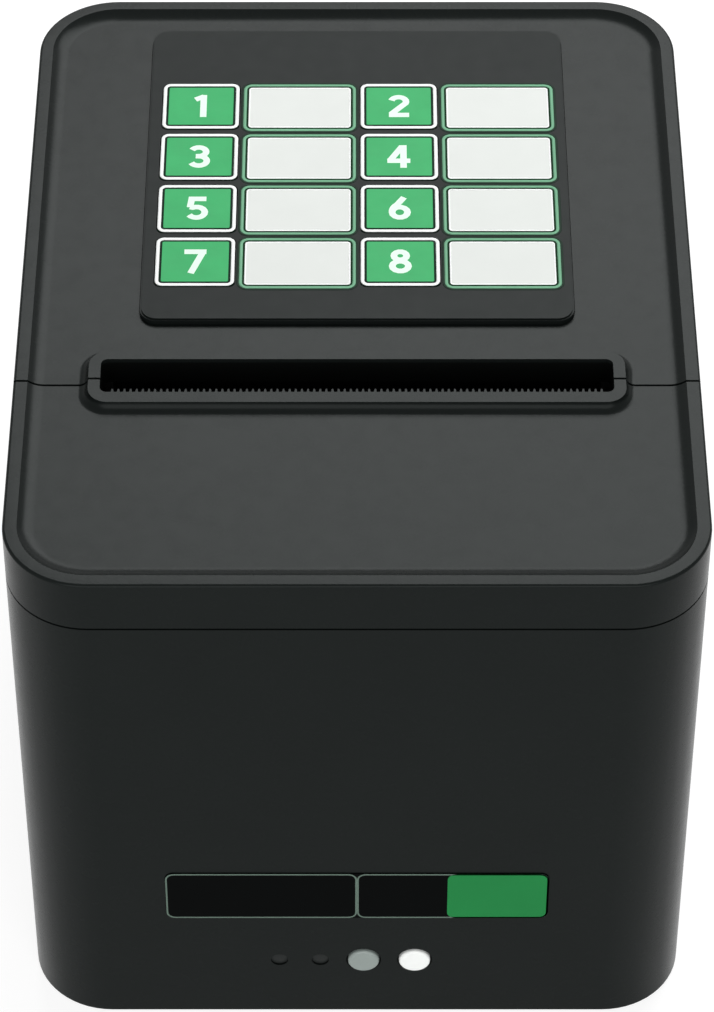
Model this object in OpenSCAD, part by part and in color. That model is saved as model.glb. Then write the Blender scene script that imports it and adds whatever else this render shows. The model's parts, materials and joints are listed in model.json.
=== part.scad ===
// Countertop queue ticket printer: a moulded case with a hinged rear lid that carries an
// eight-key pad and the feed roller, over a thermal print mechanism, a guillotine cutter and
// a drop-in paper bucket. Millimetres. The origin is the centre of the footprint on the
// counter: +X is to the right seen from the front, +Y to the back and +Z up.

/* [Case] */
// Width of the case across its side walls
body_w = 115; // [112:0.5:130]
// Depth of the case from front to back
body_d = 147.5; // [146:0.5:165]
// Height of the case from the lower edge of its walls to the rim
body_h = 110; // [108:0.5:125]
// Radius of the four upright corners
corner_r = 14; // [12:0.5:16]
// Thickness of the moulded walls
wall = 2.5; // [2.2:0.1:2.8]
// How far the feet hold the walls off the counter
foot_proud = 0.8; // [0.6:0.1:1.5]
// Gap between the lower case and the covers
seam_gap = 0.4; // [0.3:0.05:0.6]
// Gap between the front cover and the lid
lid_gap = 0.45; // [0.25:0.05:0.6]

/* [Covers] */
// Height of the band that the covers wrap round the top
band_h = 10; // [9.5:0.1:11]
// Distance of the parting line from the front face
split_y = 47.1; // [46:0.1:49]
// Width of the flat rim round the top
rim_w = 2.4; // [1.8:0.1:3]
// Width of the cove between the rim and the dished floor
cove_w = 2.8; // [2:0.1:3.4]
// Depth of the dished floor below the rim
dish_depth = 1.05; // [0.7:0.05:1.3]
// Fillet on the outer top edge
edge_r = 0.5; // [0.3:0.05:0.8]
// Thickness of the dished top plate
plate_t = 2.5; // [2.3:0.1:2.8]

/* [Ticket slot] */
// Room beside the paper at each end of the slot
slot_side = 3.2; // [2.4:0.1:3.8]
// Distance from the parting line forward to the tips of the teeth
slot_front = 2.45; // [2:0.05:3]
// Distance from the parting line back to the rear edge of the slot
slot_back = 4.7; // [4.2:0.1:5.2]
// Width of the raised boss beside the slot's ends
boss_margin_x = 2; // [1.6:0.1:2.6]
// Width of the raised boss in front of the slot
boss_margin_front = 2.4; // [2:0.05:2.8]
// Width of the raised boss behind the slot
boss_margin_back = 2.05; // [1.8:0.05:2.4]
// Height of the boss above the dished floor
boss_h = 1.6; // [1.2:0.1:2]
// Width of the cove at the foot of the boss
boss_cove = 1.7; // [1.2:0.1:2.2]
// Pitch of the tear bar's teeth
tooth_pitch = 1.02; // [0.9:0.02:1.3]
// Depth of the tear bar's teeth
tooth_depth = 0.75; // [0.5:0.05:1]

/* [Keypad] */
// Width of the keypad's bezel
pad_w = 74; // [73:0.5:78]
// Distance of the bezel's rear edge from the back face
pad_back = 8.5; // [7:0.1:10]
// Corner radius of the bezel
pad_r = 3; // [2:0.5:5]
// Distance of the bezel's front edge behind the parting line
pad_y = 14.9; // [13.5:0.1:16]
// Height of the bezel above the dished floor
pad_proud = 1.1; // [0.8:0.1:1.5]
// Width of a key
key_w = 13.6; // [12:0.1:13.8]
// Width of a label window
label_w = 19.4; // [17:0.1:19.8]
// Length of a key and of a label window from front to back
key_l = 12.2; // [10:0.1:12.6]
// Distance from the bezel's front edge to the middle of the nearest row of keys
keys_front = 14.4; // [13.5:0.1:14.8]
// Distance between one row of keys and the next
key_pitch = 13.7; // [13.2:0.1:13.8]
// Distance between the left and the right column of keys
column_pitch = 35.3; // [35:0.1:35.6]
// Travel of a key
key_travel = 0.5; // [0.3:0.05:0.6]
// Clearance round a key or a button
key_gap = 0.2; // [0.15:0.05:0.3]

/* [Front controls] */
// Diameter of the two push buttons
button_d = 5.5; // [4.5:0.1:6.5]
// Height of the buttons and lamps above the lower edge of the walls
button_z = 14.2; // [12:0.1:18]
// Travel of a push button
button_travel = 0.8; // [0.4:0.1:1]
// How far the buttons stand proud of the front
button_proud = 0.5; // [0.5:0.1:1.2]
// Place of the power button from the middle
power_x = 1.15; // [0:0.05:2]
// Place of the feed button from the middle
feed_x = 10.1; // [9:0.1:13]
// Place of the first lamp from the middle
lamp_1_x = -13.6; // [-16:0.05:-12]
// Place of the second lamp from the middle
lamp_2_x = -6.45; // [-8:0.05:-5]
// Diameter of the lamps
lamp_d = 3; // [2.5:0.1:3.5]
// Width of the front badge
badge_w = 66; // [50:1:80]
// Height of the front badge
badge_h = 11.9; // [9:0.1:14]
// Height of the badge's middle above the lower edge of the walls
badge_z = 32.1; // [28:0.1:60]

/* [Paper] */
// Room in front of the paper bucket for the print mechanism
mech_room = 11; // [10.8:0.1:14]
// Room between the bucket and the rear wall
rear_room = 2.9; // [2.9:0.1:6]
// Clearance between the roll's ends and the bucket
roll_side = 1.25; // [0.8:0.05:2]
// Outer diameter of the roll's core
core_d = 18; // [14:1:22]
// Bore of the roll's core
core_bore = 12.5; // [10:0.5:13]
// Clearance between a full roll and the bucket
bucket_gap = 2; // [1.5:0.1:8]

/* [Print mechanism] */
// Room between the mechanism's side plates and the walls, for the gears
side_room = 10.5; // [10.2:0.1:13]
// Diameter of the rubber feed roller
platen_d = 10; // [9:0.2:10.4]
// Diameter of the feed roller's shaft
shaft_d = 5; // [4:0.5:5.5]
// Distance of the feed roller's axis behind the parting line
platen_back = 7; // [6.9:0.1:7.2]
// Depth of the feed roller's axis below the rim
platen_drop = 18.8; // [18.4:0.1:19.2]
// Gap between the print head and the feed roller
head_gap = 0.4; // [0.35:0.05:0.5]
// Module of the gears
gear_m = 0.8; // [0.78:0.01:0.81]
// Teeth of the gears on the feed roller, the motor and the cutter
pinion_teeth = 12; // [12:1:13]
// Teeth of the reduction gear
wheel_teeth = 28; // [26:1:28]
// Face width of the feed gears
gear_face = 4; // [3:0.5:4.5]
// Play between the flanks of meshing teeth
backlash = 0.16; // [0.12:0.02:0.24]
// Travel of the cutter's moving blade
cut_travel = 6.5; // [5.5:0.1:6.8]
// Radial play of a turning shaft in its bore
run_play = 0.04; // [0.02:0.01:0.08]

/* [Hidden] */

$fn = 48;
eps = 0.01;

// Colours
case_grey = [0.20, 0.21, 0.21];
pad_grey = [0.16, 0.17, 0.17];
inner_black = [0.10, 0.10, 0.11];
key_green = [0.20, 0.66, 0.38];
card_white = [0.92, 0.93, 0.92];
steel = [0.72, 0.73, 0.75];
aluminium = [0.80, 0.81, 0.82];
gear_white = [0.88, 0.87, 0.82];
board_green = [0.10, 0.38, 0.22];
rubber_black = [0.07, 0.07, 0.07];
brass = [0.78, 0.62, 0.30];

// Heights of the case
wall_z = foot_proud;
top_z = wall_z + body_h;
cover_z = top_z - band_h;
body_top_z = cover_z - seam_gap;
floor_z = top_z - dish_depth;
ceiling_z = floor_z - plate_t;
boss_z = floor_z + boss_h;

// Places along the depth
front_y = -body_d / 2;
back_y = body_d / 2;
part_y = front_y + split_y;

// Lid hinge: the lid's rear lower edge is rounded about the hinge axis
hinge_r = 3.4;
hinge_y = back_y - hinge_r;
hinge_z = cover_z + hinge_r;
hinge_pin_r = 1.5;
knuckle_x = 34;
knuckle_w = 10;
knuckle_gap = 0.3;
ear_t = 3;
ear_r = 3.1;
knuckle_root = 9;
hinge_pin_l = knuckle_w + 2 * (knuckle_gap + ear_t);

// Alignment lip inside the seam
lip_t = 1.5;
lip_gap = 0.3;
lip_h = 2.4;
lip_root = 2;
lap = 10.5;
plate_lap = 1.5;
lip_clear = 14;

// Widths across the mechanism, from the side plates inwards
plate_thick = 1.5;
plate_x = body_w / 2 - wall - side_room;
plate_end = plate_x + plate_thick;
arm_t = 2.2;
arm_gap = 1;
arm_x = plate_x - arm_t - arm_gap;
between_arms = 2 * (arm_x - 0.3);
bucket_in = 3.5;
bucket_side = plate_x - bucket_in;
paper_w = 2 * (bucket_side - roll_side);
slot_w = paper_w + 2 * slot_side;

// Slot and boss
slot_front_y = part_y - slot_front - tooth_depth;
slot_back_y = part_y + slot_back;
slot_l = slot_back_y - slot_front_y;
slot_mid_y = (slot_front_y + slot_back_y) / 2;
boss_w = slot_w + 2 * boss_margin_x;
boss_l = slot_l + boss_margin_front + boss_margin_back;
boss_mid_y = slot_mid_y + (boss_margin_back - boss_margin_front) / 2;
boss_r = 3.4;
slot_r = 1.2;
chimney_t = 1.4;
chimney_z = cover_z + 3.4;
lip_over_teeth = 0.35;
guide_t = 0.7;
guide_top_z = boss_z - 0.8;
guide_bottom_z = ceiling_z - 1.2;
tear_bar_t = 1;
tear_bar_l = 1.9;
tooth_tip = 0.24;
tooth_root = 0.48;
tooth_sink = 0.03;
chimney_l = 3.4;

// Base
base_t = 2.5;
base_gap = 0.25;
base_z = wall_z + 0.4;
base_top_z = base_z + base_t;
foot_d = 14;
foot_seat = 0.8;
foot_in_x = 14.5;
foot_in_y = 15;
boss_post_r = 3.6;
screw_in_x = 8.6;
screw_in_y = 27;
screw_r = 1.4;
pilot_r = 1.45;
through_r = 1.7;
screw_head_r = 2.7;
screw_head_h = 1.6;
screw_l = 8;

// Keypad
pad_seat = 0.8;
pad_front_y = part_y + pad_y;
pad_l = back_y - pad_back - pad_front_y;
pad_mid_y = pad_front_y + pad_l / 2;
keys_mid_y = pad_front_y + keys_front + 1.5 * key_pitch;
pad_top_z = floor_z + pad_proud;
pad_bottom_z = floor_z - pad_seat;
pad_step = 0.3;
pad_play = 0.15;
key_proud = 0.15;
key_r = 1.1;
label_sink = 0.35;
label_t = 0.35;
key_x = -27.85;
label_gap = 0.63;
label_x = key_x + (key_w + label_w) / 2 + 2 * key_gap + label_gap;
window_w = 70;
window_l = 4 * key_pitch + 1;
mat_gap = key_travel + 0.15;
board_t = 1.6;
board_w = 76;
board_front = 3.1;
board_back = 0.8;

// Drop-in paper bucket and inner frame
frame_t = 2;
bucket_floor_z = 13;
roll_head_room = 4;
board_parts_h = 2.2;
bay_d = back_y - wall - rear_room - part_y - mech_room - 2 * frame_t;
bay_h = ceiling_z - board_t - board_parts_h - roll_head_room - bucket_floor_z;
bucket_r = min(bay_d, bay_h) / 2;
bucket_z = bucket_floor_z + bucket_r;
bucket_y = part_y + mech_room + bucket_r + frame_t;
bucket_top_z = cover_z - 17.8;
roll_d = 2 * (bucket_r - bucket_gap);
roll_rest = 0.3;
finger_r = 12;
roll_z = bucket_floor_z + roll_rest + roll_d / 2;
platen_h = top_z - platen_drop;
deck_drop = 48.5;
deck_z = platen_h - deck_drop;
deck_t = 2.5;
deck_front = front_y + 17;
deck_w = 2 * (plate_x + 3);
frame_post_r = 3.6;
frame_post_x = bucket_side + frame_t / 2;
frame_post_gap = 1;

// Feed roller and gears
platen_y = part_y + platen_back;
platen_w = paper_w + 1.5;
bushing_r = 4;
seat_play = 0.15;
swing_play = 1;
gear_x = plate_end + 2;
gear_side = 0.25;
pressure = 25;
addendum = 0.85;
dedendum = 1.1;
pinion_r = gear_m * pinion_teeth / 2;
wheel_r = gear_m * wheel_teeth / 2;
mesh_play = 0.03;
wheel_y = platen_y;
wheel_z = platen_h - pinion_r - wheel_r - mesh_play;
motor_forward = 12.5;
motor_step = pinion_r + wheel_r + mesh_play;
motor_y = wheel_y - motor_forward;
motor_z = wheel_z - sqrt(motor_step * motor_step - motor_forward * motor_forward);
motor_angle = atan2(motor_z - wheel_z, motor_y - wheel_y);
motor_r = 12.4;
motor_l = 19;
motor_shaft_r = 1;
axle_r = 1.5;

// Print head
head_t = 1;
head_l = 9.6;
head_face_y = platen_y - platen_d / 2 - head_gap;
head_top_z = platen_h + 1.8;
sink_t = 3.4;
sink_w = between_arms + 2;
sink_slots = floor((sink_w / 2 - 3) / 9);
sink_bottom_z = platen_h - 11.2;
sink_top_z = platen_h + 4.4;
sink_front_y = head_face_y - head_t - sink_t;
pivot_y = sink_front_y + 0.4;
pivot_z = platen_h - 8.6;
pivot_r = 1.5;
pivot_boss_r = 2.5;
beam_y = sink_front_y - 7;
beam_t = 1.5;
beam_z = pivot_z + 1;
spring_r = 2.1;
spring_wire = 0.35;
spring_turns = 5;
spring_x = 26;
spring_z = platen_h - 0.6;

// Print mechanism frame
mech_front = beam_y - 10;
mech_back = platen_y + 11;
mech_top_z = platen_h + 6;
mech_bottom_z = deck_z + deck_t;

// Cutter
cutter_t = 1.2;
cutter_w = 2 * plate_end;
cutter_front = front_y + 12;
cutter_back = part_y - 3;
blade_t = 1;
rail_w = cutter_w / 2 - between_arms / 2 - 0.2;
blade_play = 0.1;
blade_edge = part_y - 2.2;
blade_v = 3;
blade_l = 18;
blade_z = mech_top_z + cutter_t + blade_play;
fixed_edge = platen_y - platen_d / 2 + 0.5;
rack_w = 6;
rack_l = 24;
rack_t = 3;
rack_pitch = PI * gear_m;
rack_x = -3;
cutter_gear_x = rack_x + rack_w / 2 + pinion_r + mesh_play;
cutter_gear_y = blade_edge - blade_l - 5;
cutter_motor_r = 8;
cutter_motor_l = 22;

// Lid frame that carries the feed roller
lid_frame_t = 2;
lid_frame_front = slot_back_y + guide_t + 0.4;
lid_frame_l = 11.6;
lid_frame_w = 2 * (plate_x + 2.5);

// Boards and sockets
main_board_gap = 3;
main_board_w = 2 * (bucket_side - main_board_gap);
main_board_in = 42;
main_board_front = front_y + main_board_in;
main_board_rise = 2.4;
main_board_z = base_top_z + main_board_rise;
socket_depth = 15;
board_screw_r = 1;
socket_sink = 0.6;
button_board_y = front_y + wall + 7.5;
lamp_sink = 0.25;
lamp_crown = 7.5;

// ---------------------------------------------------------------- shared shapes

function arc(cx, cy, r, from, to, steps) =
    [for (i = [0:steps]) let(a = from + (to - from) * i / steps) [cx + r * cos(a), cy + r * sin(a)]];

// A flat rectangle with round corners
module rounded(w, d, r) {
    square([w - 2 * r, d], center = true);
    square([w, d - 2 * r], center = true);
    for (sx = [-1, 1], sy = [-1, 1])
        translate([sx * (w / 2 - r), sy * (d / 2 - r)])
            circle(r);
}

// An upright block with round corners, from z0 to z1
module block(w, d, r, z0, z1) {
    translate([0, 0, z0])
        linear_extrude(z1 - z0)
            rounded(w, d, r);
}

// A square-cornered box given by its two corners
module box(low, high) {
    translate(low)
        cube(high - low);
}

// Carries a profile round a rounded rectangle: its x is the distance outward, its y the height
module sweep_round(w, d, r) {
    for (k = [0:3]) {
        half = k % 2 == 0 ? w / 2 : d / 2;
        run = k % 2 == 0 ? d - 2 * r : w - 2 * r;
        rotate([0, 0, 90 * k]) {
            translate([half, 0, 0])
                rotate([90, 0, 0])
                    linear_extrude(run, center = true)
                        children();
            translate([half - r, run / 2, 0])
                rotate_extrude(angle = 90)
                    translate([r, 0])
                        children();
        }
    }
}

// A cylinder along X
module rod_x(r, x0, x1, y, z) {
    translate([x0, y, z])
        rotate([0, 90, 0])
            cylinder(r = r, h = x1 - x0);
}

// A cylinder along Y
module rod_y(r, y0, y1, x, z) {
    translate([x, y1, z])
        rotate([90, 0, 0])
            cylinder(r = r, h = y1 - y0);
}

// A pan-head screw with a cross recess, its head seat at the origin and its tip up at +Z
module screw(r, length, head_r, head_h) {
    difference() {
        union() {
            cylinder(r = r, h = length);
            translate([0, 0, -head_h])
                cylinder(r = head_r, h = head_h);
        }
        for (a = [0, 90])
            rotate([0, 0, a])
                translate([-head_r * 0.6, -0.35, -head_h - eps])
                    cube([head_r * 1.2, 0.7, head_h * 0.55]);
    }
}

function involute(a) = tan(a) * 180 / PI - a;
function half_tooth(r, teeth) =
    90 / teeth - backlash / 2 / (gear_m * teeth / 2) * 180 / PI / 2 + involute(pressure)
    - (r > gear_m * teeth / 2 * cos(pressure) ? involute(acos(gear_m * teeth / 2 * cos(pressure) / r)) : 0);
function flank_radii(teeth) =
    let(
        pitch = gear_m * teeth / 2,
        base = pitch * cos(pressure),
        tip = pitch + addendum * gear_m,
        low = max(base, pitch - dedendum * gear_m)
    )
    [for (i = [0:4]) low + (tip - low) * i / 4];

// A spur gear's outline with a tooth centred on +X
module gear_outline(teeth) {
    root = gear_m * teeth / 2 - dedendum * gear_m;
    radii = flank_radii(teeth);
    points = [
        for (t = [0:teeth - 1])
            let(mid = t * 360 / teeth, start = half_tooth(radii[0], teeth))
            each concat(
                [[root * cos(mid - start), root * sin(mid - start)]],
                [for (r = radii) [r * cos(mid - half_tooth(r, teeth)), r * sin(mid - half_tooth(r, teeth))]],
                [for (i = [4:-1:0])
                    let(r = radii[i], a = mid + half_tooth(r, teeth))
                    [r * cos(a), r * sin(a)]],
                [[root * cos(mid + start), root * sin(mid + start)]]
            )
    ];
    polygon(points);
}

// The turn that puts a second gear in mesh with a first, along the direction a
function mesh_turn(turn, teeth_1, teeth_2, a) =
    a + 180 - 360 / teeth_2 * (0.5 - (a - turn) * teeth_1 / 360);

// A gear on an axis along X, from x0, with its first tooth turned towards the angle from +Y
module gear_on_x(teeth, x0, face, y, z, turn) {
    translate([x0, y, z])
        rotate([90, 0, 90])
            rotate([0, 0, turn])
                linear_extrude(face)
                    gear_outline(teeth);
}

platen_turn = -90;
wheel_turn = mesh_turn(platen_turn, pinion_teeth, wheel_teeth, -90);
motor_turn = mesh_turn(wheel_turn, wheel_teeth, pinion_teeth, motor_angle);

// ---------------------------------------------------------------- case

function screw_spots() =
    [for (sx = [-1, 1], sy = [-1, 1]) [sx * (body_w / 2 - screw_in_x), sy * (body_d / 2 - screw_in_y)]];

module knuckle(sx) {
    x0 = sx * knuckle_x - knuckle_w / 2;
    difference() {
        union() {
            rod_x(hinge_r, x0, x0 + knuckle_w, hinge_y, hinge_z);
            box([x0, hinge_y - hinge_r, body_top_z - knuckle_root], [x0 + knuckle_w, back_y, hinge_z]);
        }
        rod_x(hinge_pin_r + run_play, x0 - 1, x0 + knuckle_w + 1, hinge_y, hinge_z);
    }
}

module body_shell() {
    color(case_grey)
    difference() {
        union() {
            difference() {
                block(body_w, body_d, corner_r, wall_z, body_top_z);
                block(body_w - 2 * wall, body_d - 2 * wall, corner_r - wall, wall_z - 1, body_top_z + 1);
            }
            for (spot = screw_spots())
                base_boss(spot);
            for (sx = [-1, 1]) {
                knuckle(sx);
                button_board_post(sx);
            }
        }
        for (spot = screw_spots())
            translate([spot[0], spot[1], base_top_z - 1])
                cylinder(r = pilot_r, h = screw_l);
        for (x = [power_x, feed_x])
            rod_y(button_d / 2 + 0.3, front_y - 1, front_y + wall + 1, x, wall_z + button_z);
        for (x = [lamp_1_x, lamp_2_x])
            rod_y(lamp_d / 2, front_y - 1, front_y + wall + 1, x, wall_z + button_z);
        badge_pocket();
        rear_socket_holes();
    }
}

// A post in the lower case that a base screw bites into, tied to the side wall
module base_boss(spot) {
    side = sign(spot[0]);
    translate([spot[0], spot[1], base_top_z])
        cylinder(r = boss_post_r, h = 16);
    box(
        [min(side * (body_w / 2 - wall / 2), spot[0]), spot[1] - 1, base_top_z],
        [max(side * (body_w / 2 - wall / 2), spot[0]), spot[1] + 1, base_top_z + 16]
    );
}

module button_board_post(sx) {
    difference() {
        rod_y(2.6, front_y + wall / 2, button_board_y, button_board_x(sx), wall_z + button_z + 6);
        rod_y(board_screw_r, front_y + wall, button_board_y + 1, button_board_x(sx), wall_z + button_z + 6);
    }
}

function button_board_x(sx) = sx * 20;

module badge_pocket() {
    translate([0, front_y + 0.5, wall_z + badge_z])
        rotate([90, 0, 0])
            linear_extrude(2)
                rounded(badge_w + 0.2, badge_h + 0.2, 1.5);
}

// The sockets on the back: place of the middle, width, and height above the board
power_socket = [10 - main_board_w / 2, 10, 11];
usb_socket = [-4, 12.2, 11];
network_socket = [main_board_w / 2 - 19, 16, 13.5];

module socket_hole(socket) {
    box(
        [socket[0] - socket[1] / 2 - 0.4, back_y - wall - 1, main_board_z + board_t - 0.4],
        [socket[0] + socket[1] / 2 + 0.4, back_y + 1, main_board_z + board_t + socket[2] + 0.4]
    );
}

module rear_socket_holes() {
    socket_hole(power_socket);
    socket_hole(usb_socket);
    socket_hole(network_socket);
}

module base_plate() {
    inset = 2 * (wall + base_gap);
    color(inner_black)
    difference() {
        union() {
            block(body_w - inset, body_d - inset, corner_r - wall - base_gap, base_z, base_top_z);
            for (spot = frame_spots())
                translate([spot[0], spot[1], base_top_z - eps])
                    cylinder(r = frame_post_r, h = frame_post_gap + eps);
            for (spot = board_spots())
                translate([spot[0], spot[1], base_top_z - eps])
                    cylinder(r = 2.5, h = main_board_z - base_top_z + eps);
        }
        for (spot = foot_spots())
            translate([spot[0], spot[1], base_z - 1])
                cylinder(r = foot_d / 2, h = 1 + foot_seat);
        for (spot = concat(screw_spots(), frame_spots())) {
            translate([spot[0], spot[1], base_z - 1])
                cylinder(r = through_r, h = base_t + 4);
            translate([spot[0], spot[1], base_z - 1])
                cylinder(r = screw_head_r + 0.3, h = 1 + screw_head_h - 0.2);
        }
        for (spot = board_spots())
            translate([spot[0], spot[1], base_top_z - 1.2])
                cylinder(r = board_screw_r, h = 5);
        for (x = [-20:5:20], sy = [-1, 1])
            translate([x, sy * 24, base_z - 1])
                linear_extrude(base_t + 2)
                    rounded(2, 16, 0.99);
    }
}

function foot_spots() =
    [for (sx = [-1, 1], sy = [-1, 1]) [sx * (body_w / 2 - foot_in_x), sy * (body_d / 2 - foot_in_y)]];

module rubber_feet() {
    color(rubber_black)
    for (spot = foot_spots())
        translate([spot[0], spot[1], 0])
            rotate_extrude()
                polygon(concat(
                    [[0, 0], [foot_d / 2 - 0.6, 0]],
                    [[foot_d / 2, 0.6], [foot_d / 2, base_z + foot_seat], [0, base_z + foot_seat]]
                ));
}

module base_screws() {
    color(steel)
    for (spot = screw_spots())
        translate([spot[0], spot[1], base_z + screw_head_h - 0.2])
            screw(screw_r, screw_l - 1, screw_head_r, screw_head_h - 0.3);
}

// ---------------------------------------------------------------- covers

cove_arc_r = (cove_w * cove_w + dish_depth * dish_depth) / (2 * dish_depth);
boss_arc_r = (boss_cove * boss_cove + boss_h * boss_h) / (2 * boss_h);

// The covers' cross-section at the rim: skirt, rim, cove and the edge of the dished plate
module rim_profile() {
    polygon(concat(
        [[0, cover_z]],
        arc(-edge_r, top_z - edge_r, edge_r, 0, 90, 4),
        arc(
            -rim_w - cove_w, floor_z + cove_arc_r, cove_arc_r,
            atan2(dish_depth - cove_arc_r, cove_w), -90, 6
        ),
        [[-lap, floor_z], [-lap, ceiling_z], [-wall, ceiling_z], [-wall, cover_z]]
    ));
}

// The two covers in one, with the raised boss round the slot
module cover_blank() {
    sweep_round(body_w, body_d, corner_r)
        rim_profile();
    inner = lap - plate_lap;
    block(body_w - 2 * inner, body_d - 2 * inner, corner_r - inner, ceiling_z, floor_z);
    translate([0, boss_mid_y, 0]) {
        block(boss_w, boss_l, boss_r, ceiling_z, boss_z);
        sweep_round(boss_w, boss_l, boss_r)
            polygon(concat(
                [[-1, ceiling_z + 1], [-1, boss_z]],
                arc(
                    boss_cove, floor_z + boss_arc_r, boss_arc_r,
                    180 + atan2(boss_arc_r - boss_h, boss_cove), 270, 6
                ),
                [[boss_cove, ceiling_z + 1]]
            ));
    }
}

// The opening that the ticket comes up through, as far as z0
module slot_cut(z0) {
    translate([0, slot_mid_y, z0])
        linear_extrude(boss_z + 1 - z0)
            rounded(slot_w, slot_l, slot_r);
}

// The tongue that lines a cover up inside the lower case
module cover_lip() {
    outer = wall + lip_gap;
    inner = outer + lip_t;
    difference() {
        union() {
            block(
                body_w - 2 * outer, body_d - 2 * outer, corner_r - outer,
                cover_z - lip_h, cover_z + lip_root
            );
            block(body_w - wall, body_d - wall, corner_r - wall / 2, cover_z, cover_z + lip_root);
        }
        block(
            body_w - 2 * inner, body_d - 2 * inner, corner_r - inner,
            cover_z - lip_h - 1, cover_z + lip_root + 1
        );
    }
}

module front_half() {
    box([-body_w, front_y - 1, cover_z - 10], [body_w, part_y - lid_gap / 2, boss_z + 1]);
}

module rear_half() {
    box([-body_w, part_y + lid_gap / 2, cover_z - 10], [body_w, back_y + 1, boss_z + 1]);
}

module front_cover() {
    color(case_grey)
    difference() {
        union() {
            intersection() {
                cover_blank();
                front_half();
            }
            intersection() {
                cover_lip();
                box(
                    [-body_w, front_y - 1, cover_z - 10],
                    [body_w, part_y - lid_gap / 2, boss_z]
                );
            }
            box(
                [-slot_w / 2 - chimney_t, slot_front_y - chimney_l, chimney_z],
                [slot_w / 2 + chimney_t, part_y - lid_gap / 2, ceiling_z + eps]
            );
        }
        slot_cut(chimney_z - 1);
        tear_bar_pocket();
    }
}

// Room for the tear bar under the boss's front lip
module tear_bar_pocket() {
    box(
        [-slot_w / 2, slot_front_y - tear_bar_l, boss_z - lip_over_teeth - tear_bar_t],
        [slot_w / 2, slot_front_y + 1, boss_z - lip_over_teeth]
    );
}

// The teeth's outline, with their roots sunk by a little behind y 0
module teeth_outline(sunk) {
    teeth = floor((slot_w - 2 * slot_r) / tooth_pitch);
    start = -teeth * tooth_pitch / 2;
    root = tooth_root * tooth_pitch / 2;
    tip = tooth_tip * tooth_pitch / 2;
    for (i = [0:teeth - 1])
        translate([start + (i + 0.5) * tooth_pitch, 0])
            polygon([[-root, -sunk], [-root, 0], [-tip, tooth_depth], [tip, tooth_depth], [root, 0], [root, -sunk]]);
}

// A strip under the boss's front lip, with teeth that rise to the top of the boss
module tear_bar() {
    bar_z = boss_z - lip_over_teeth - tear_bar_t;
    color(case_grey) {
        box([-slot_w / 2, slot_front_y - tear_bar_l, bar_z], [slot_w / 2, slot_front_y, bar_z + tear_bar_t]);
        translate([0, slot_front_y, bar_z]) {
            linear_extrude(tear_bar_t)
                teeth_outline(eps);
            linear_extrude(boss_z - tooth_sink - bar_z)
                teeth_outline(0);
        }
    }
}

// The lid's two ears beside a knuckle
module lid_ears(sx) {
    for (side = [-1, 1]) {
        near = knuckle_w / 2 + knuckle_gap;
        x0 = sx * knuckle_x + (side > 0 ? near : -near - ear_t);
        rod_x(ear_r, x0, x0 + ear_t, hinge_y, hinge_z);
        box([x0, hinge_y - ear_r, hinge_z], [x0 + ear_t, back_y - wall / 2, ceiling_z + eps]);
    }
}

// What the lid leaves free for a knuckle over its whole swing
module knuckle_room(sx) {
    free = knuckle_w / 2 + knuckle_gap;
    x0 = sx * knuckle_x - free;
    x1 = sx * knuckle_x + free;
    r = hinge_r + knuckle_gap;
    rod_x(r, x0, x1, hinge_y, hinge_z);
    box([x0, hinge_y - r, cover_z - 1], [x1, back_y + 1, hinge_z]);
    box([x0, hinge_y, cover_z - 1], [x1, back_y + 1, hinge_z + r]);
}

module rear_lid() {
    color(case_grey)
    difference() {
        union() {
            intersection() {
                cover_blank();
                rear_half();
            }
            intersection() {
                cover_lip();
                box(
                    [-body_w, part_y + lid_gap / 2, cover_z - 10],
                    [body_w, back_y - lip_clear, boss_z]
                );
            }
            for (sx = [-1, 1])
                lid_ears(sx);
        }
        slot_cut(chimney_z - 1);
        guide_outline(ceiling_z - 1, guide_top_z, guide_t);
        for (sx = [-1, 1]) {
            knuckle_room(sx);
            rod_x(
                hinge_pin_r, sx * knuckle_x - hinge_pin_l / 2, sx * knuckle_x + hinge_pin_l / 2,
                hinge_y, hinge_z
            );
        }
        hinge_edge_cut();
        translate([0, pad_mid_y, 0])
            block(pad_w + 2 * pad_play, pad_l + 2 * pad_play, pad_r + pad_play, pad_bottom_z, floor_z + 5);
        translate([0, keys_mid_y, 0])
            block(window_w, window_l, 1, ceiling_z - 1, floor_z + 1);
        for (spot = lid_frame_spots())
            translate([spot[0], spot[1], ceiling_z - 1])
                cylinder(r = 1, h = 1 + plate_t - 0.8);
    }
}

// Rounds the lid's rear lower edge about the hinge axis
module hinge_edge_cut() {
    difference() {
        box([-body_w, hinge_y, cover_z - 1], [body_w, back_y + 1, hinge_z]);
        rod_x(hinge_r, -body_w - 1, body_w + 1, hinge_y, hinge_z);
    }
}

// The slot's outline grown by a margin, between two heights
module guide_outline(z0, z1, margin) {
    translate([0, slot_mid_y, 0])
        block(slot_w + 2 * margin, slot_l + 2 * margin, slot_r + margin, z0, z1);
}

// The black guide that lines the lid's side of the slot
module exit_guide() {
    color(inner_black)
    intersection() {
        difference() {
            guide_outline(guide_bottom_z, guide_top_z, guide_t);
            guide_outline(guide_bottom_z - 1, guide_top_z + 1, 0);
        }
        rear_half();
    }
}

module hinge_pins() {
    color(steel)
    for (sx = [-1, 1])
        rod_x(
            hinge_pin_r, sx * knuckle_x - hinge_pin_l / 2, sx * knuckle_x + hinge_pin_l / 2,
            hinge_y, hinge_z
        );
}

// ---------------------------------------------------------------- keypad

function key_spot(i) =
    let(row = floor(i / 2), column = i % 2)
    [key_x + column * column_pitch, keys_mid_y + (1.5 - row) * key_pitch];
function label_spot(i) = key_spot(i) + [label_x - key_x, 0];

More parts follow.
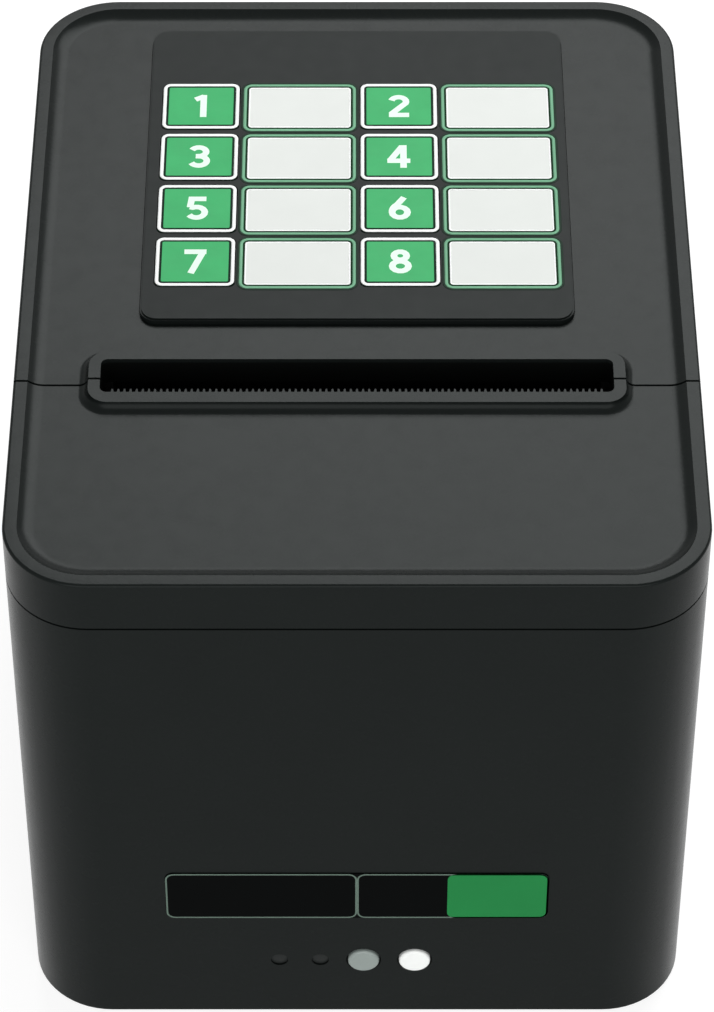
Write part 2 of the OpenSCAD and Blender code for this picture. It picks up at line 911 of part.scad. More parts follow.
module keypad_bezel() {
    color(pad_grey)
    difference() {
        translate([0, pad_mid_y, 0]) {
            block(pad_w, pad_l, pad_r, pad_bottom_z, pad_top_z - pad_step);
            block(
                pad_w - 2 * pad_step, pad_l - 2 * pad_step, pad_r - pad_step,
                pad_top_z - pad_step, pad_top_z
            );
        }
        for (i = [0:7]) {
            translate([key_spot(i)[0], key_spot(i)[1], 0])
                block(
                    key_w + 2 * key_gap, key_l + 2 * key_gap, key_r + key_gap,
                    pad_bottom_z - 1, pad_top_z + 1
                );
            translate([label_spot(i)[0], label_spot(i)[1], 0])
                block(label_w, key_l, key_r, pad_top_z - label_sink, pad_top_z + 1);
        }
    }
}

module key(i) {
    color(key_green)
    translate([key_spot(i)[0], key_spot(i)[1], 0]) {
        block(key_w, key_l, key_r, pad_bottom_z, pad_top_z + key_proud - 0.2);
        block(key_w - 0.4, key_l - 0.4, key_r - 0.2, pad_top_z + key_proud - 0.2, pad_top_z + key_proud);
    }
}

module label_cards() {
    color(card_white)
    for (i = [0:7])
        translate([label_spot(i)[0], label_spot(i)[1], 0])
            block(
                label_w - 0.1, key_l - 0.1, key_r - 0.05,
                pad_top_z - label_sink, pad_top_z - label_sink + label_t
            );
}

module keypad_mat() {
    color(card_white)
    translate([0, keys_mid_y, 0])
        block(window_w - 0.4, window_l - 0.4, 0.8, ceiling_z, pad_bottom_z - mat_gap);
}

module keypad_board() {
    y0 = keys_mid_y - window_l / 2 - board_front;
    y1 = keys_mid_y + window_l / 2 + board_back;
    color(board_green)
    union() {
        translate([0, (y0 + y1) / 2, 0])
            block(board_w, y1 - y0, 2, ceiling_z - board_t, ceiling_z);
        box([-9, y0 + 7, ceiling_z - board_t - board_parts_h], [9, y0 + 13, ceiling_z - board_t + eps]);
    }
}

// ---------------------------------------------------------------- front controls

module push_button(x) {
    r = button_d / 2;
    y = front_y - button_proud;
    translate([x, y, wall_z + button_z])
        rotate([-90, 0, 0])
            rotate_extrude()
                polygon(concat(
                    [[0, 0]],
                    arc(r - 0.5, 0.5, 0.5, -90, 0, 4),
                    [[r, button_proud + wall + 0.3], [r + 0.8, button_proud + wall + 0.3]],
                    [[r + 0.8, button_proud + wall + 0.3 + 1.2], [0, button_proud + wall + 1.5]]
                ));
}

module power_button() {
    color([0.60, 0.63, 0.62])
        push_button(power_x);
}

module feed_button() {
    color([0.96, 0.96, 0.95])
        push_button(feed_x);
}

// Two round lenses, crowned a little and sunk into the front
module status_lamps() {
    r = lamp_d / 2;
    back = button_board_y - 1 - front_y - lamp_sink;
    color([0.09, 0.10, 0.10])
    for (x = [lamp_1_x, lamp_2_x])
        translate([x, front_y + lamp_sink, wall_z + button_z])
            rotate([-90, 0, 0])
                rotate_extrude()
                    polygon(concat(
                        arc(0, lamp_crown, lamp_crown, -90, asin(r / lamp_crown) - 90, 4),
                        [[r, back], [0, back]]
                    ));
}

module button_board() {
    face = button_board_y;
    low = wall_z + button_z - 9;
    high = wall_z + button_z + 10;
    color(board_green)
    difference() {
        union() {
            box([-24, face, max(low, base_top_z + 0.5)], [24, face + board_t, high]);
            for (x = [power_x, feed_x])
                box(
                    [x - 3, front_y + wall + 1.5 + button_travel + 0.2, wall_z + button_z - 3],
                    [x + 3, face + eps, wall_z + button_z + 3]
                );
            for (x = [lamp_1_x, lamp_2_x])
                box(
                    [x - 1.5, face - 0.99, wall_z + button_z - 1.5],
                    [x + 1.5, face + eps, wall_z + button_z + 1.5]
                );
        }
        for (sx = [-1, 1])
            rod_y(board_screw_r + 0.15, face - 1, face + 3, button_board_x(sx), wall_z + button_z + 6);
    }
}

module front_badge() {
    color(pad_grey)
    translate([0, front_y + 0.5, wall_z + badge_z])
        rotate([90, 0, 0])
            linear_extrude(0.7)
                rounded(badge_w, badge_h, 1.4);
}

// ---------------------------------------------------------------- inner frame and paper

function frame_spots() = [
    for (sx = [-1, 1], y = [deck_front + 20, bucket_y + 11]) [sx * frame_post_x, y]
];
function mech_spots() = [
    for (sx = [-1, 1], y = [mech_front + 6, mech_front + 22]) [sx * (plate_x - 8), y]
];

module inner_frame() {
    outer_r = bucket_r + frame_t;
    side = bucket_side + frame_t;
    front = bucket_y - outer_r;
    back = bucket_y + outer_r;
    color(inner_black)
    difference() {
        union() {
            difference() {
                union() {
                    rod_x(outer_r, -side, side, bucket_y, bucket_z);
                    box([-side, front, bucket_z], [side, back, bucket_top_z]);
                    for (sx = [-1, 1])
                        box(
                            [sx > 0 ? bucket_side : -side, deck_front, base_top_z + frame_post_gap],
                            [sx > 0 ? side : -bucket_side, back, deck_z + eps]
                        );
                    for (spot = frame_spots())
                        translate([spot[0], spot[1], base_top_z + frame_post_gap])
                            cylinder(r = frame_post_r, h = deck_z - base_top_z - frame_post_gap);
                }
                rod_x(bucket_r, -bucket_side, bucket_side, bucket_y, bucket_z);
                box(
                    [-bucket_side, bucket_y - bucket_r, bucket_z],
                    [bucket_side, bucket_y + bucket_r, bucket_top_z + 1]
                );
                box([-side - 1, front - 1, bucket_top_z], [side + 1, back + 1, bucket_z + outer_r + 1]);
            }
            box([-deck_w / 2, deck_front, deck_z], [deck_w / 2, front + frame_t, deck_z + deck_t]);
        }
        for (spot = frame_spots())
            translate([spot[0], spot[1], base_top_z - 1])
                cylinder(r = pilot_r, h = 10);
        for (spot = mech_spots())
            translate([spot[0], spot[1], deck_z - 1])
                cylinder(r = pilot_r, h = deck_t + 2);
        for (x = [-side - 1, bucket_side - 1])
            rod_x(finger_r, x, x + frame_t + 2, bucket_y, bucket_top_z);
        box([-8, bucket_y - 6, bucket_floor_z - 4], [8, bucket_y + 6, bucket_floor_z + 1]);
    }
}

module frame_screws() {
    color(steel)
    for (spot = frame_spots())
        translate([spot[0], spot[1], base_z + screw_head_h - 0.2])
            screw(screw_r, screw_l, screw_head_r, screw_head_h - 0.3);
}

module paper_sensor() {
    color(board_green)
    difference() {
        box([-7.5, bucket_y - 5.5, main_board_z + board_t], [7.5, bucket_y + 5.5, bucket_floor_z - 0.6]);
        box([-3, bucket_y - 2, bucket_floor_z - 1.4], [3, bucket_y + 2, bucket_floor_z]);
    }
}

module paper_roll() {
    color(card_white)
    difference() {
        rod_x(roll_d / 2, -paper_w / 2, paper_w / 2, bucket_y, roll_z);
        rod_x(core_d / 2, -paper_w, paper_w, bucket_y, roll_z);
    }
}

module paper_core() {
    color([0.62, 0.52, 0.40])
    difference() {
        rod_x(core_d / 2, -paper_w / 2, paper_w / 2, bucket_y, roll_z);
        rod_x(core_bore / 2, -paper_w, paper_w, bucket_y, roll_z);
    }
}

// ---------------------------------------------------------------- boards and sockets

module main_board() {
    z = main_board_z;
    color(board_green)
    difference() {
        union() {
            box(
                [-main_board_w / 2, main_board_front, z],
                [main_board_w / 2, back_y - wall - 0.8, z + board_t]
            );
            translate([0, main_board_front, z + board_t - eps])
                board_parts();
        }
        for (spot = board_spots())
            translate([spot[0], spot[1], z - 1])
                cylinder(r = board_screw_r + 0.15, h = board_t + 2);
    }
}

// The main board's processor, cable header and two capacitors
module board_parts() {
    chip = 14;
    header = [20, 5, 6];
    capacitor_r = 4;
    left = -main_board_w / 2;
    translate([left + 18, 6, 0])
        cube([chip, chip, 1.6]);
    translate([6, 4, 0])
        cube(header);
    for (x = [left + capacitor_r + 2, left + 3 * capacitor_r + 4])
        translate([x, capacitor_r + 1, 0])
            cylinder(r = capacitor_r, h = 12);
}

function board_spots() =
    [for (sx = [-1, 1], y = [main_board_front + 14, back_y - 26]) [sx * (main_board_w / 2 - 4), y]];

// The main board's four screws and the button board's two
module board_screws() {
    color(steel) {
        for (spot = board_spots())
            translate([spot[0], spot[1], main_board_z + board_t])
                rotate([180, 0, 0])
                    screw(board_screw_r - 0.05, 3.6, 1.9, 1.1);
        for (sx = [-1, 1])
            translate([button_board_x(sx), button_board_y + board_t, wall_z + button_z + 6])
                rotate([90, 0, 0])
                    screw(board_screw_r - 0.05, 5, 1.9, 1.1);
    }
}

// A socket's shell standing on the main board, flush with the back
module socket_shell(socket, depth) {
    translate([socket[0], 0, 0])
        box(
            [-socket[1] / 2, back_y - socket_sink - depth, main_board_z + board_t],
            [socket[1] / 2, back_y - socket_sink, main_board_z + board_t + socket[2]]
        );
}

module power_inlet() {
    middle_z = main_board_z + board_t + power_socket[2] / 2;
    color(inner_black) {
        difference() {
            socket_shell(power_socket, 13);
            rod_y(3.4, back_y - 10, back_y + 1, power_socket[0], middle_z);
        }
        rod_y(1, back_y - 10.5, back_y - 2, power_socket[0], middle_z);
    }
}

module usb_port() {
    x = usb_socket[0];
    z = main_board_z + board_t;
    color(steel) {
        difference() {
            socket_shell(usb_socket, socket_depth);
            box([x - 4.2, back_y - 11, z + 1.6], [x + 4.2, back_y + 1, z + 9.4]);
        }
        box([x - 2.8, back_y - 11.5, z + 4], [x + 2.8, back_y - 2.5, z + 7]);
    }
}

module network_port() {
    x = network_socket[0];
    z = main_board_z + board_t;
    color(steel)
    difference() {
        socket_shell(network_socket, socket_depth);
        box([x - 5.9, back_y - 12, z + 4.4], [x + 5.9, back_y + 1, z + 11]);
        box([x - 3, back_y - 12, z + 2.6], [x + 3, back_y + 1, z + 5]);
        box([x - 2, back_y - 12, z + 1.2], [x + 2, back_y + 1, z + 3]);
    }
}

// ---------------------------------------------------------------- print mechanism

// Seat of a feed roller bushing: a round bottom, open at the top for the lid's swing
module bushing_seat(x0, x1) {
    r = bushing_r + seat_play;
    rod_x(r, x0, x1, platen_y, platen_h);
    box([x0, platen_y - r - swing_play, platen_h], [x1, platen_y + r, mech_top_z + 1]);
}

module side_plate(x0) {
    translate([x0, 0, 0])
        rotate([90, 0, 90])
            linear_extrude(plate_thick)
                polygon([
                    [mech_front, mech_bottom_z], [mech_back - 6, mech_bottom_z],
                    [mech_back, mech_bottom_z + 12], [mech_back, mech_top_z - 3],
                    [mech_back - 3, mech_top_z], [mech_front, mech_top_z]
                ]);
}

module mechanism_frame() {
    color(steel)
    difference() {
        union() {
            side_plate(plate_x);
            side_plate(-plate_end);
            box(
                [-plate_end, mech_front, mech_bottom_z],
                [plate_end, mech_front + 28, mech_bottom_z + plate_thick]
            );
            box([-plate_end, beam_y - beam_t, beam_z], [plate_end, beam_y, mech_top_z]);
        }
        bushing_seat(-plate_end - 1, -plate_x + 1);
        bushing_seat(plate_x - 1, plate_end + 1);
        for (x = [-plate_end - 1, plate_x - 1])
            rod_x(pivot_r, x, x + plate_thick + 2, pivot_y, pivot_z);
        rod_x(axle_r, plate_x - 1, plate_end + 1, wheel_y, wheel_z);
        rod_x(4, plate_x - 1, plate_end + 1, motor_y, motor_z);
        for (spot = mech_spots())
            translate([spot[0], spot[1], mech_bottom_z - 1])
                cylinder(r = through_r, h = plate_thick + 2);
    }
}

module mechanism_screws() {
    color(steel)
    for (spot = mech_spots())
        translate([spot[0], spot[1], mech_bottom_z + plate_thick])
            rotate([180, 0, 0])
                screw(screw_r, deck_t + plate_thick - 0.2, screw_head_r, screw_head_h);
}

module print_head() {
    color([0.86, 0.84, 0.78])
        box(
            [-between_arms / 2, head_face_y - head_t, head_top_z - head_l],
            [between_arms / 2, head_face_y, head_top_z]
        );
}

module head_heatsink() {
    back = head_face_y - head_t;
    color(aluminium)
    difference() {
        union() {
            box([-sink_w / 2, sink_front_y, sink_bottom_z], [sink_w / 2, back, sink_top_z]);
            rod_x(pivot_boss_r, -sink_w / 2, sink_w / 2, pivot_y, pivot_z);
        }
        rod_x(pivot_r + run_play, -sink_w, sink_w, pivot_y, pivot_z);
        for (x = [-9 * sink_slots:9:9 * sink_slots])
            box(
                [x - 1.2, sink_front_y - 1, pivot_z + pivot_boss_r + 1.4],
                [x + 1.2, sink_front_y + 1.6, spring_z - 3.4]
            );
    }
}

module head_pivot_pin() {
    color(steel)
        rod_x(pivot_r, -plate_end, plate_end, pivot_y, pivot_z);
}

// A coil spring along Y as one closed tube
module coil_spring(x, y0, y1, z) {
    sides = 6;
    steps = spring_turns * 12;
    middle = spring_r - spring_wire;
    travel = y1 - y0 - 2 * spring_wire;
    points = [
        for (i = [0:steps], j = [0:sides - 1])
            let(
                a = i * 30,
                b = j * 360 / sides,
                r = middle + spring_wire * cos(b),
                along = y0 + spring_wire + travel * i / steps + spring_wire * sin(b)
            )
            [x + r * cos(a), along, z + r * sin(a)]
    ];
    skin = [
        for (i = [0:steps - 1], j = [0:sides - 1])
            let(a = i * sides + j, b = i * sides + (j + 1) % sides)
            each [[a, b, b + sides], [a, b + sides, a + sides]]
    ];
    near_end = [for (j = [1:sides - 2]) [0, j + 1, j]];
    last = steps * sides;
    far_end = [for (j = [1:sides - 2]) [last, last + j, last + j + 1]];
    polyhedron(points, concat(skin, near_end, far_end));
}

module head_springs() {
    color(steel)
    for (sx = [-1, 1])
        coil_spring(sx * spring_x, beam_y + 0.1, sink_front_y - 0.1, spring_z);
}

module platen_rubber() {
    color(rubber_black)
    difference() {
        rod_x(platen_d / 2, -platen_w / 2, platen_w / 2, platen_y, platen_h);
        rod_x(shaft_d / 2, -platen_w, platen_w, platen_y, platen_h);
    }
}

module platen_shaft() {
    color(steel)
        rod_x(
            shaft_d / 2, -plate_end - 1.2, gear_x + gear_face + 0.8,
            platen_y, platen_h
        );
}

module platen_bushings() {
    color(brass)
    for (sx = [-1, 1]) {
        x0 = sx > 0 ? arm_x : -plate_end - 0.4;
        x1 = sx > 0 ? plate_end + 0.4 : -arm_x;
        difference() {
            rod_x(bushing_r, x0, x1, platen_y, platen_h);
            rod_x(shaft_d / 2 + run_play, x0 - 1, x1 + 1, platen_y, platen_h);
        }
    }
}

module platen_gear() {
    color(gear_white)
    difference() {
        gear_on_x(pinion_teeth, gear_x, gear_face, platen_y, platen_h, platen_turn);
        rod_x(shaft_d / 2, gear_x - 1, gear_x + gear_face + 1, platen_y, platen_h);
    }
}

module reduction_gear() {
    color(gear_white)
    difference() {
        union() {
            gear_on_x(wheel_teeth, gear_x, gear_face, wheel_y, wheel_z, wheel_turn);
            rod_x(3.5, plate_end + gear_side, gear_x + gear_face, wheel_y, wheel_z);
        }
        rod_x(axle_r + run_play, gear_x - 5, gear_x + gear_face + 1, wheel_y, wheel_z);
        for (a = [0:60:300])
            rod_x(
                1.7, gear_x - 1, gear_x + gear_face + 1,
                wheel_y + 6.6 * cos(a), wheel_z + 6.6 * sin(a)
            );
    }
}

module gear_axle() {
    color(steel) {
        rod_x(axle_r, plate_x, gear_x + gear_face + 0.6, wheel_y, wheel_z);
        rod_x(axle_r + 0.8, gear_x + gear_face + 0.25, gear_x + gear_face + 0.9, wheel_y, wheel_z);
    }
}

module feed_motor() {
    color(steel) {
        rod_x(motor_r, plate_x - motor_l, plate_x - 1, motor_y, motor_z);
        box(
            [plate_x - 1, motor_y - motor_r - 3, motor_z - 3.5],
            [plate_x, motor_y + motor_r + 1, motor_z + 3.5]
        );
        difference() {
            rod_x(3.8, plate_x - 1, plate_end, motor_y, motor_z);
            rod_x(motor_shaft_r + run_play, plate_x - 0.5, plate_x + 5, motor_y, motor_z);
        }
    }
}

module motor_pinion() {
    color(brass)
    union() {
        gear_on_x(pinion_teeth, gear_x, gear_face, motor_y, motor_z, motor_turn);
        rod_x(motor_shaft_r, plate_end - 1.2, gear_x + gear_face + 0.5, motor_y, motor_z);
    }
}

// ---------------------------------------------------------------- cutter

module cutter_base() {
    rail = 1.2;
    color(steel)
    difference() {
        union() {
            box(
                [-cutter_w / 2, cutter_front, mech_top_z],
                [cutter_w / 2, cutter_back, mech_top_z + cutter_t]
            );
            for (sx = [-1, 1])
                box(
                    [sx > 0 ? cutter_w / 2 - rail_w : -cutter_w / 2, cutter_front + 14, mech_top_z],
                    [sx > 0 ? cutter_w / 2 : rail_w - cutter_w / 2, cutter_back, blade_z + blade_t + rail]
                );
        }
        translate([cutter_gear_x, cutter_gear_y, mech_top_z - 1])
            cylinder(r = 3, h = cutter_t + 2);
    }
}

module moving_blade() {
    y0 = blade_edge - blade_l;
    rack_low = y0 - rack_l + 6;
    first = ceil((rack_low + 0.6 * rack_pitch - cutter_gear_y) / rack_pitch - 0.5);
    last = floor((y0 + 2 - cutter_gear_y) / rack_pitch - 0.5);
    half_top = (rack_pitch / 4 - addendum * gear_m * tan(pressure)) - backlash / 4;
    half_foot = (rack_pitch / 4 + dedendum * gear_m * tan(pressure)) - backlash / 4;
    face = rack_x + rack_w / 2;
    side = between_arms / 2;
    color(steel) {
        translate([0, 0, blade_z])
            linear_extrude(blade_t)
                polygon([
                    [-side, y0], [-side, blade_edge], [0, blade_edge - blade_v],
                    [side, blade_edge], [side, y0]
                ]);
        translate([0, 0, blade_z])
            linear_extrude(rack_t) {
                translate([rack_x - rack_w / 2, rack_low])
                    square([rack_w - dedendum * gear_m, rack_l]);
                for (i = [first:last]) {
                    y = cutter_gear_y + (i + 0.5) * rack_pitch;
                    polygon([
                        [face - dedendum * gear_m - eps, y - half_foot],
                        [face + addendum * gear_m, y - half_top],
                        [face + addendum * gear_m, y + half_top],
                        [face - dedendum * gear_m - eps, y + half_foot]
                    ]);
                }
            }
    }
}

module cutter_gear() {
    color(gear_white)
    translate([cutter_gear_x, cutter_gear_y, 0]) {
        translate([0, 0, blade_z + blade_t + 0.2])
            rotate([0, 0, 180])
                linear_extrude(rack_t - blade_t - 0.2)
                    gear_outline(pinion_teeth);
        translate([0, 0, mech_top_z - 1])
            cylinder(r = 1, h = blade_z + rack_t - mech_top_z + 1);
    }
}

module cutter_motor() {
    color(steel)
    translate([cutter_gear_x, cutter_gear_y, 0])
        difference() {
            union() {
                translate([0, 0, mech_top_z - cutter_motor_l])
                    cylinder(r = cutter_motor_r, h = cutter_motor_l);
                translate([0, 0, mech_top_z - cutter_motor_l - 2])
                    cylinder(r = 3, h = 2 + eps);
            }
            translate([0, 0, mech_top_z - 1.5])
                cylinder(r = 1 + run_play, h = 2);
        }
}

// The counter blade hangs from the lid's frame just above the feed roller
module fixed_blade() {
    color(steel)
    translate([-between_arms / 2, 0, 0])
        rotate([90, 0, 90])
            linear_extrude(between_arms)
                polygon([
                    [fixed_edge, blade_z - blade_play - 0.8],
                    [fixed_edge, blade_z - blade_play],
                    [lid_frame_front + 5, blade_z - blade_play],
                    [lid_frame_front + 5, ceiling_z - lid_frame_t],
                    [lid_frame_front + 6.2, ceiling_z - lid_frame_t],
                    [lid_frame_front + 6.2, blade_z - blade_play - 1],
                    [fixed_edge + 2, blade_z - blade_play - 1]
                ]);
}

function lid_frame_spots() =
    let(outer = arm_x - 3.3)
    [for (x = [-outer, -14, 14, outer]) [x, lid_frame_front + lid_frame_l - 2.6]];

module lid_frame() {
    plate_z = ceiling_z - lid_frame_t;
    color(inner_black)
    difference() {
        union() {
            box(
                [-lid_frame_w / 2, lid_frame_front, plate_z],
                [lid_frame_w / 2, lid_frame_front + lid_frame_l, ceiling_z]
            );
            for (sx = [-1, 1]) {
                x0 = sx > 0 ? arm_x : -arm_x - arm_t;
                rod_x(platen_d / 2, x0, x0 + arm_t, platen_y, platen_h);
                box(
                    [x0, lid_frame_front, platen_h],
                    [x0 + arm_t, platen_y + platen_d / 2 + 2, plate_z + eps]
                );
            }
        }
        for (sx = [-1, 1])
            rod_x(bushing_r, sx * arm_x - 4, sx * arm_x + 4, platen_y, platen_h);
        for (spot = lid_frame_spots())
            translate([spot[0], spot[1], plate_z - 1])
                cylinder(r = 1.3, h = lid_frame_t + 2);
    }
}

module lid_frame_screws() {
    color(steel)
    for (spot = lid_frame_spots())
        translate([spot[0], spot[1], ceiling_z - lid_frame_t])
            screw(0.95, lid_frame_t + plate_t - 1.2, 2, 1.2);
}

// ---------------------------------------------------------------- the assembly

body_shell();
base_plate();
rubber_feet();
base_screws();
front_cover();
tear_bar();
rear_lid();
exit_guide();
hinge_pins();
lid_frame();
lid_frame_screws();
keypad_bezel();
keypad_board();
keypad_mat();
key(0);  // key_1
key(1);  // key_2
key(2);  // key_3
key(3);  // key_4
key(4);  // key_5
key(5);  // key_6
key(6);  // key_7
key(7);  // key_8
label_cards();
front_badge();
status_lamps();
power_button();
feed_button();
button_board();
inner_frame();
frame_screws();
main_board();
board_screws();
power_inlet();
usb_port();
network_port();
paper_sensor();
paper_roll();
paper_core();
mechanism_frame();
mechanism_screws();
print_head();
head_heatsink();
head_pivot_pin();
head_springs();
platen_rubber();
platen_shaft();
platen_bushings();
platen_gear();
reduction_gear();
gear_axle();
feed_motor();
motor_pinion();
cutter_base();
moving_blade();
fixed_blade();
cutter_motor();
cutter_gear();
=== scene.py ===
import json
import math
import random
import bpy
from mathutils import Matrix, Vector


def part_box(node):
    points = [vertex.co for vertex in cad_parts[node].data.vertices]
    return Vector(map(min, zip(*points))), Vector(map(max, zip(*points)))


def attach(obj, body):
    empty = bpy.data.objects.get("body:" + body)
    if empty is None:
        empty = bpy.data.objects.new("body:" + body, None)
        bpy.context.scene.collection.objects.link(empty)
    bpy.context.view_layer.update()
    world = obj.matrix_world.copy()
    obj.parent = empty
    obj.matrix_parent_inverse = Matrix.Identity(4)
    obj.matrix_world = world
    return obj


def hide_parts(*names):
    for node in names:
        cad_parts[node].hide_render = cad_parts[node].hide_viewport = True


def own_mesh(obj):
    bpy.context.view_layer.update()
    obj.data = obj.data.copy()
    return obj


bl_info = {
    "name": "Ticket printer dresser",
    "version": (1, 0, 0),
    "blender": (4, 5, 0),
    "location": "View3D > Sidebar > Printer",
    "description": "Dresses the queue ticket printer with its finishes, prints and fine parts",
    "category": "Object",
}

import bmesh
import bpy
from bpy.props import (
    FloatProperty,
    FloatVectorProperty,
    IntProperty,
    PointerProperty,
)
from mathutils import Matrix, Vector
from mathutils.geometry import delaunay_2d_cdt

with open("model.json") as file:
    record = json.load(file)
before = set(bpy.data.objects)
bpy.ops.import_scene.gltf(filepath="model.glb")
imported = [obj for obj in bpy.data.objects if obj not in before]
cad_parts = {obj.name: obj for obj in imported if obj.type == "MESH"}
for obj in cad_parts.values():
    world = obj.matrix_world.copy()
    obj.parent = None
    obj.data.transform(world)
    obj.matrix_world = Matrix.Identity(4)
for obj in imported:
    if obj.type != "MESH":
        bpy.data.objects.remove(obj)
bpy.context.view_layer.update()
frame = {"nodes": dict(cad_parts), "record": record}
MM = 0.001
OVERLAP = 0.01 * MM


def middle_of(name):
    low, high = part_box(name)
    return (low + high) / 2


# ------------------------------------------------------------------ settings


def colour(name, description, value):
    return FloatVectorProperty(
        name=name, description=description, default=value,
        subtype="COLOR", size=3, min=0, max=1,
    )


def group(kind, name, description):
    return PointerProperty(type=kind, name=name, description=description)


def length(name, description, value):
    return FloatProperty(
        name=name, description=description, default=value * MM,
        min=0, precision=5, unit="LENGTH", subtype="DISTANCE",
    )


class PrinterColours(bpy.types.PropertyGroup):
    case: colour(
        "Case", "Charcoal moulded plastic of the case and covers", (0.0062, 0.0078, 0.0074),
    )
    bezel: colour("Bezel", "Film over the keypad", (0.0062, 0.0078, 0.0075))
    key: colour("Key", "Green field of a key", (0.030, 0.37, 0.117))
    key_line: colour("Key outline", "White line round a key", (0.93, 0.95, 0.94))
    key_shade: colour("Key shade", "Dark line inside a key's outline", (0.008, 0.022, 0.014))
    digit: colour("Digit", "Pale print of the digits", (0.74, 0.93, 0.80))
    card: colour("Card", "Label card", (0.68, 0.705, 0.68))
    card_rim: colour("Label rim", "Dark band round a label's green line", (0.020, 0.036, 0.026))
    card_line: colour("Label line", "Green line round a label window", (0.17, 0.40, 0.245))
    card_shade: colour("Label shade", "Dark line inside the green one", (0.004, 0.024, 0.009))
    badge: colour("Badge", "Film of the front badge", (0.0018, 0.0022, 0.0022))
    badge_line: colour(
        "Badge outline", "Thin line round the badge's two fields", (0.11, 0.16, 0.13),
    )
    badge_block: colour("Badge block", "Green end field of the badge", (0.010, 0.185, 0.045))
    power: colour("Power button", "Grey push button", (0.243, 0.282, 0.266))
    feed: colour("Feed button", "White push button", (0.88, 0.90, 0.88))


class KeypadSizes(bpy.types.PropertyGroup):
    outline: length("Outline", "Width of the white line round a key", 0.62)
    shade: length("Shade", "Width of the dark line inside a key's outline", 0.42)
    corner: length("Corner", "Corner radius of a key's outline", 1.3)
    ink: length("Ink", "Thickness of the printed layers", 0.04)
    digit_height: length("Digit height", "Height of a digit", 6.0)
    digit_stroke: length("Digit stroke", "Width of a digit's strokes", 1.15)
    card_wide: length("Label width", "Width over the printed frame of a label", 20.9)
    card_long: length("Label length", "Length over the printed frame of a label", 13.62)
    card_rim: length("Label rim", "Width of the dark band round a label's green line", 0.42)
    card_line: length("Label line", "Width of a label's green line", 0.56)
    card_shade: length("Label shade", "Width of the dark line inside it", 0.36)
    card_edge: length("Label edge", "Width of the card's white border", 0.28)
    card_shift: length(
        "Label shift", "How far a frame sits to the right of its window's middle", 0.1,
    )
    card_drop: length("Label drop", "How far a frame sits forward of its window's middle", 0.25)


class BadgeSizes(bpy.types.PropertyGroup):
    line: length("Line", "Width of the thin outline", 0.3)
    corner: length("Corner", "Corner radius of the two fields", 1.5)
    block: length("Block", "Width of the green end field", 17.4)


class InsideSizes(bpy.types.PropertyGroup):
    spring_turns: IntProperty(
        name="Spring turns", description="Turns of a print head spring", default=7, min=3, max=12
    )
    spring_wire: length("Spring wire", "Thickness of the spring's wire", 0.5)
    spring_keep: FloatProperty(
        name="Spring keep", description="Share of its length that a spring keeps under the head",
        default=0.93, min=0.5, max=1, subtype="FACTOR",
    )
    seed: IntProperty(
        name="Seed", description="Seed of the paper roll's uneven layers", default=7, min=0,
    )


class StageSettings(bpy.types.PropertyGroup):
    key_light: FloatProperty(
        name="Key light", description="Power of the large soft lamp overhead", default=9.0,
        min=0, subtype="POWER", unit="POWER",
    )
    fill_light: FloatProperty(
        name="Fill light", description="Power of the soft lamp before the front",
        default=27.0, min=0, subtype="POWER", unit="POWER",
    )
    sky: FloatProperty(
        name="Surround", description="Strength of the plain surround on the object",
        default=0.25, min=0, max=1, subtype="FACTOR",
    )
    camera_place: FloatVectorProperty(
        name="Camera", description="Place of the camera", default=(0.0, -0.53965, 0.6067),
        subtype="TRANSLATION", unit="LENGTH", size=3,
    )
    camera_pitch: FloatProperty(
        name="Pitch", description="How far the camera is tipped up from straight down",
        default=math.radians(44.29), subtype="ANGLE", unit="ROTATION",
    )
    lens: FloatProperty(
        name="Lens", description="Focal length of the camera in millimetres", default=151.7, min=1
    )


class PrinterSettings(bpy.types.PropertyGroup):
    colours: group(PrinterColours, "Colours", "Colours of the printer")
    keypad: group(KeypadSizes, "Keypad", "Sizes of the keypad's print")
    badge: group(BadgeSizes, "Badge", "Sizes of the front badge's print")
    inside: group(InsideSizes, "Inside", "Sizes of the fine parts inside")
    stage: group(StageSettings, "Stage", "Lamps and camera")


def settings():
    return bpy.context.scene.ticket_printer


# ------------------------------------------------------------------ node helpers


def node(tree, kind, sockets=None, **details):
    """Adds a node, with its settings and its sockets set or linked."""
    made = tree.nodes.new(kind)
    for key, value in details.items():
        setattr(made, key, value)
    for key, value in (sockets or {}).items():
        if isinstance(value, bpy.types.NodeSocket):
            tree.links.new(value, made.inputs[key])
        else:
            made.inputs[key].default_value = value
    return made


def spread(tree, value, low, high, out_low, out_high):
    """Carries a value from one range to another."""
    made = node(tree, "ShaderNodeMapRange", {
        "Value": value, "From Min": low, "From Max": high, "To Min": out_low, "To Max": out_high,
    })
    return made.outputs["Result"]


def blend(tree, amount, first, second):
    """Mixes two colours."""
    made = tree.nodes.new("ShaderNodeMix")
    made.data_type = "RGBA"
    for key, value in ((0, amount), (6, first), (7, second)):
        if isinstance(value, bpy.types.NodeSocket):
            tree.links.new(value, made.inputs[key])
        elif key:
            made.inputs[key].default_value = (*value[:3], 1)
        else:
            made.inputs[key].default_value = value
    return made.outputs[2]


# ------------------------------------------------------------------ finishes

# The cool gloss of the charcoal plastic
COOL = (0.93, 1.0, 0.985)
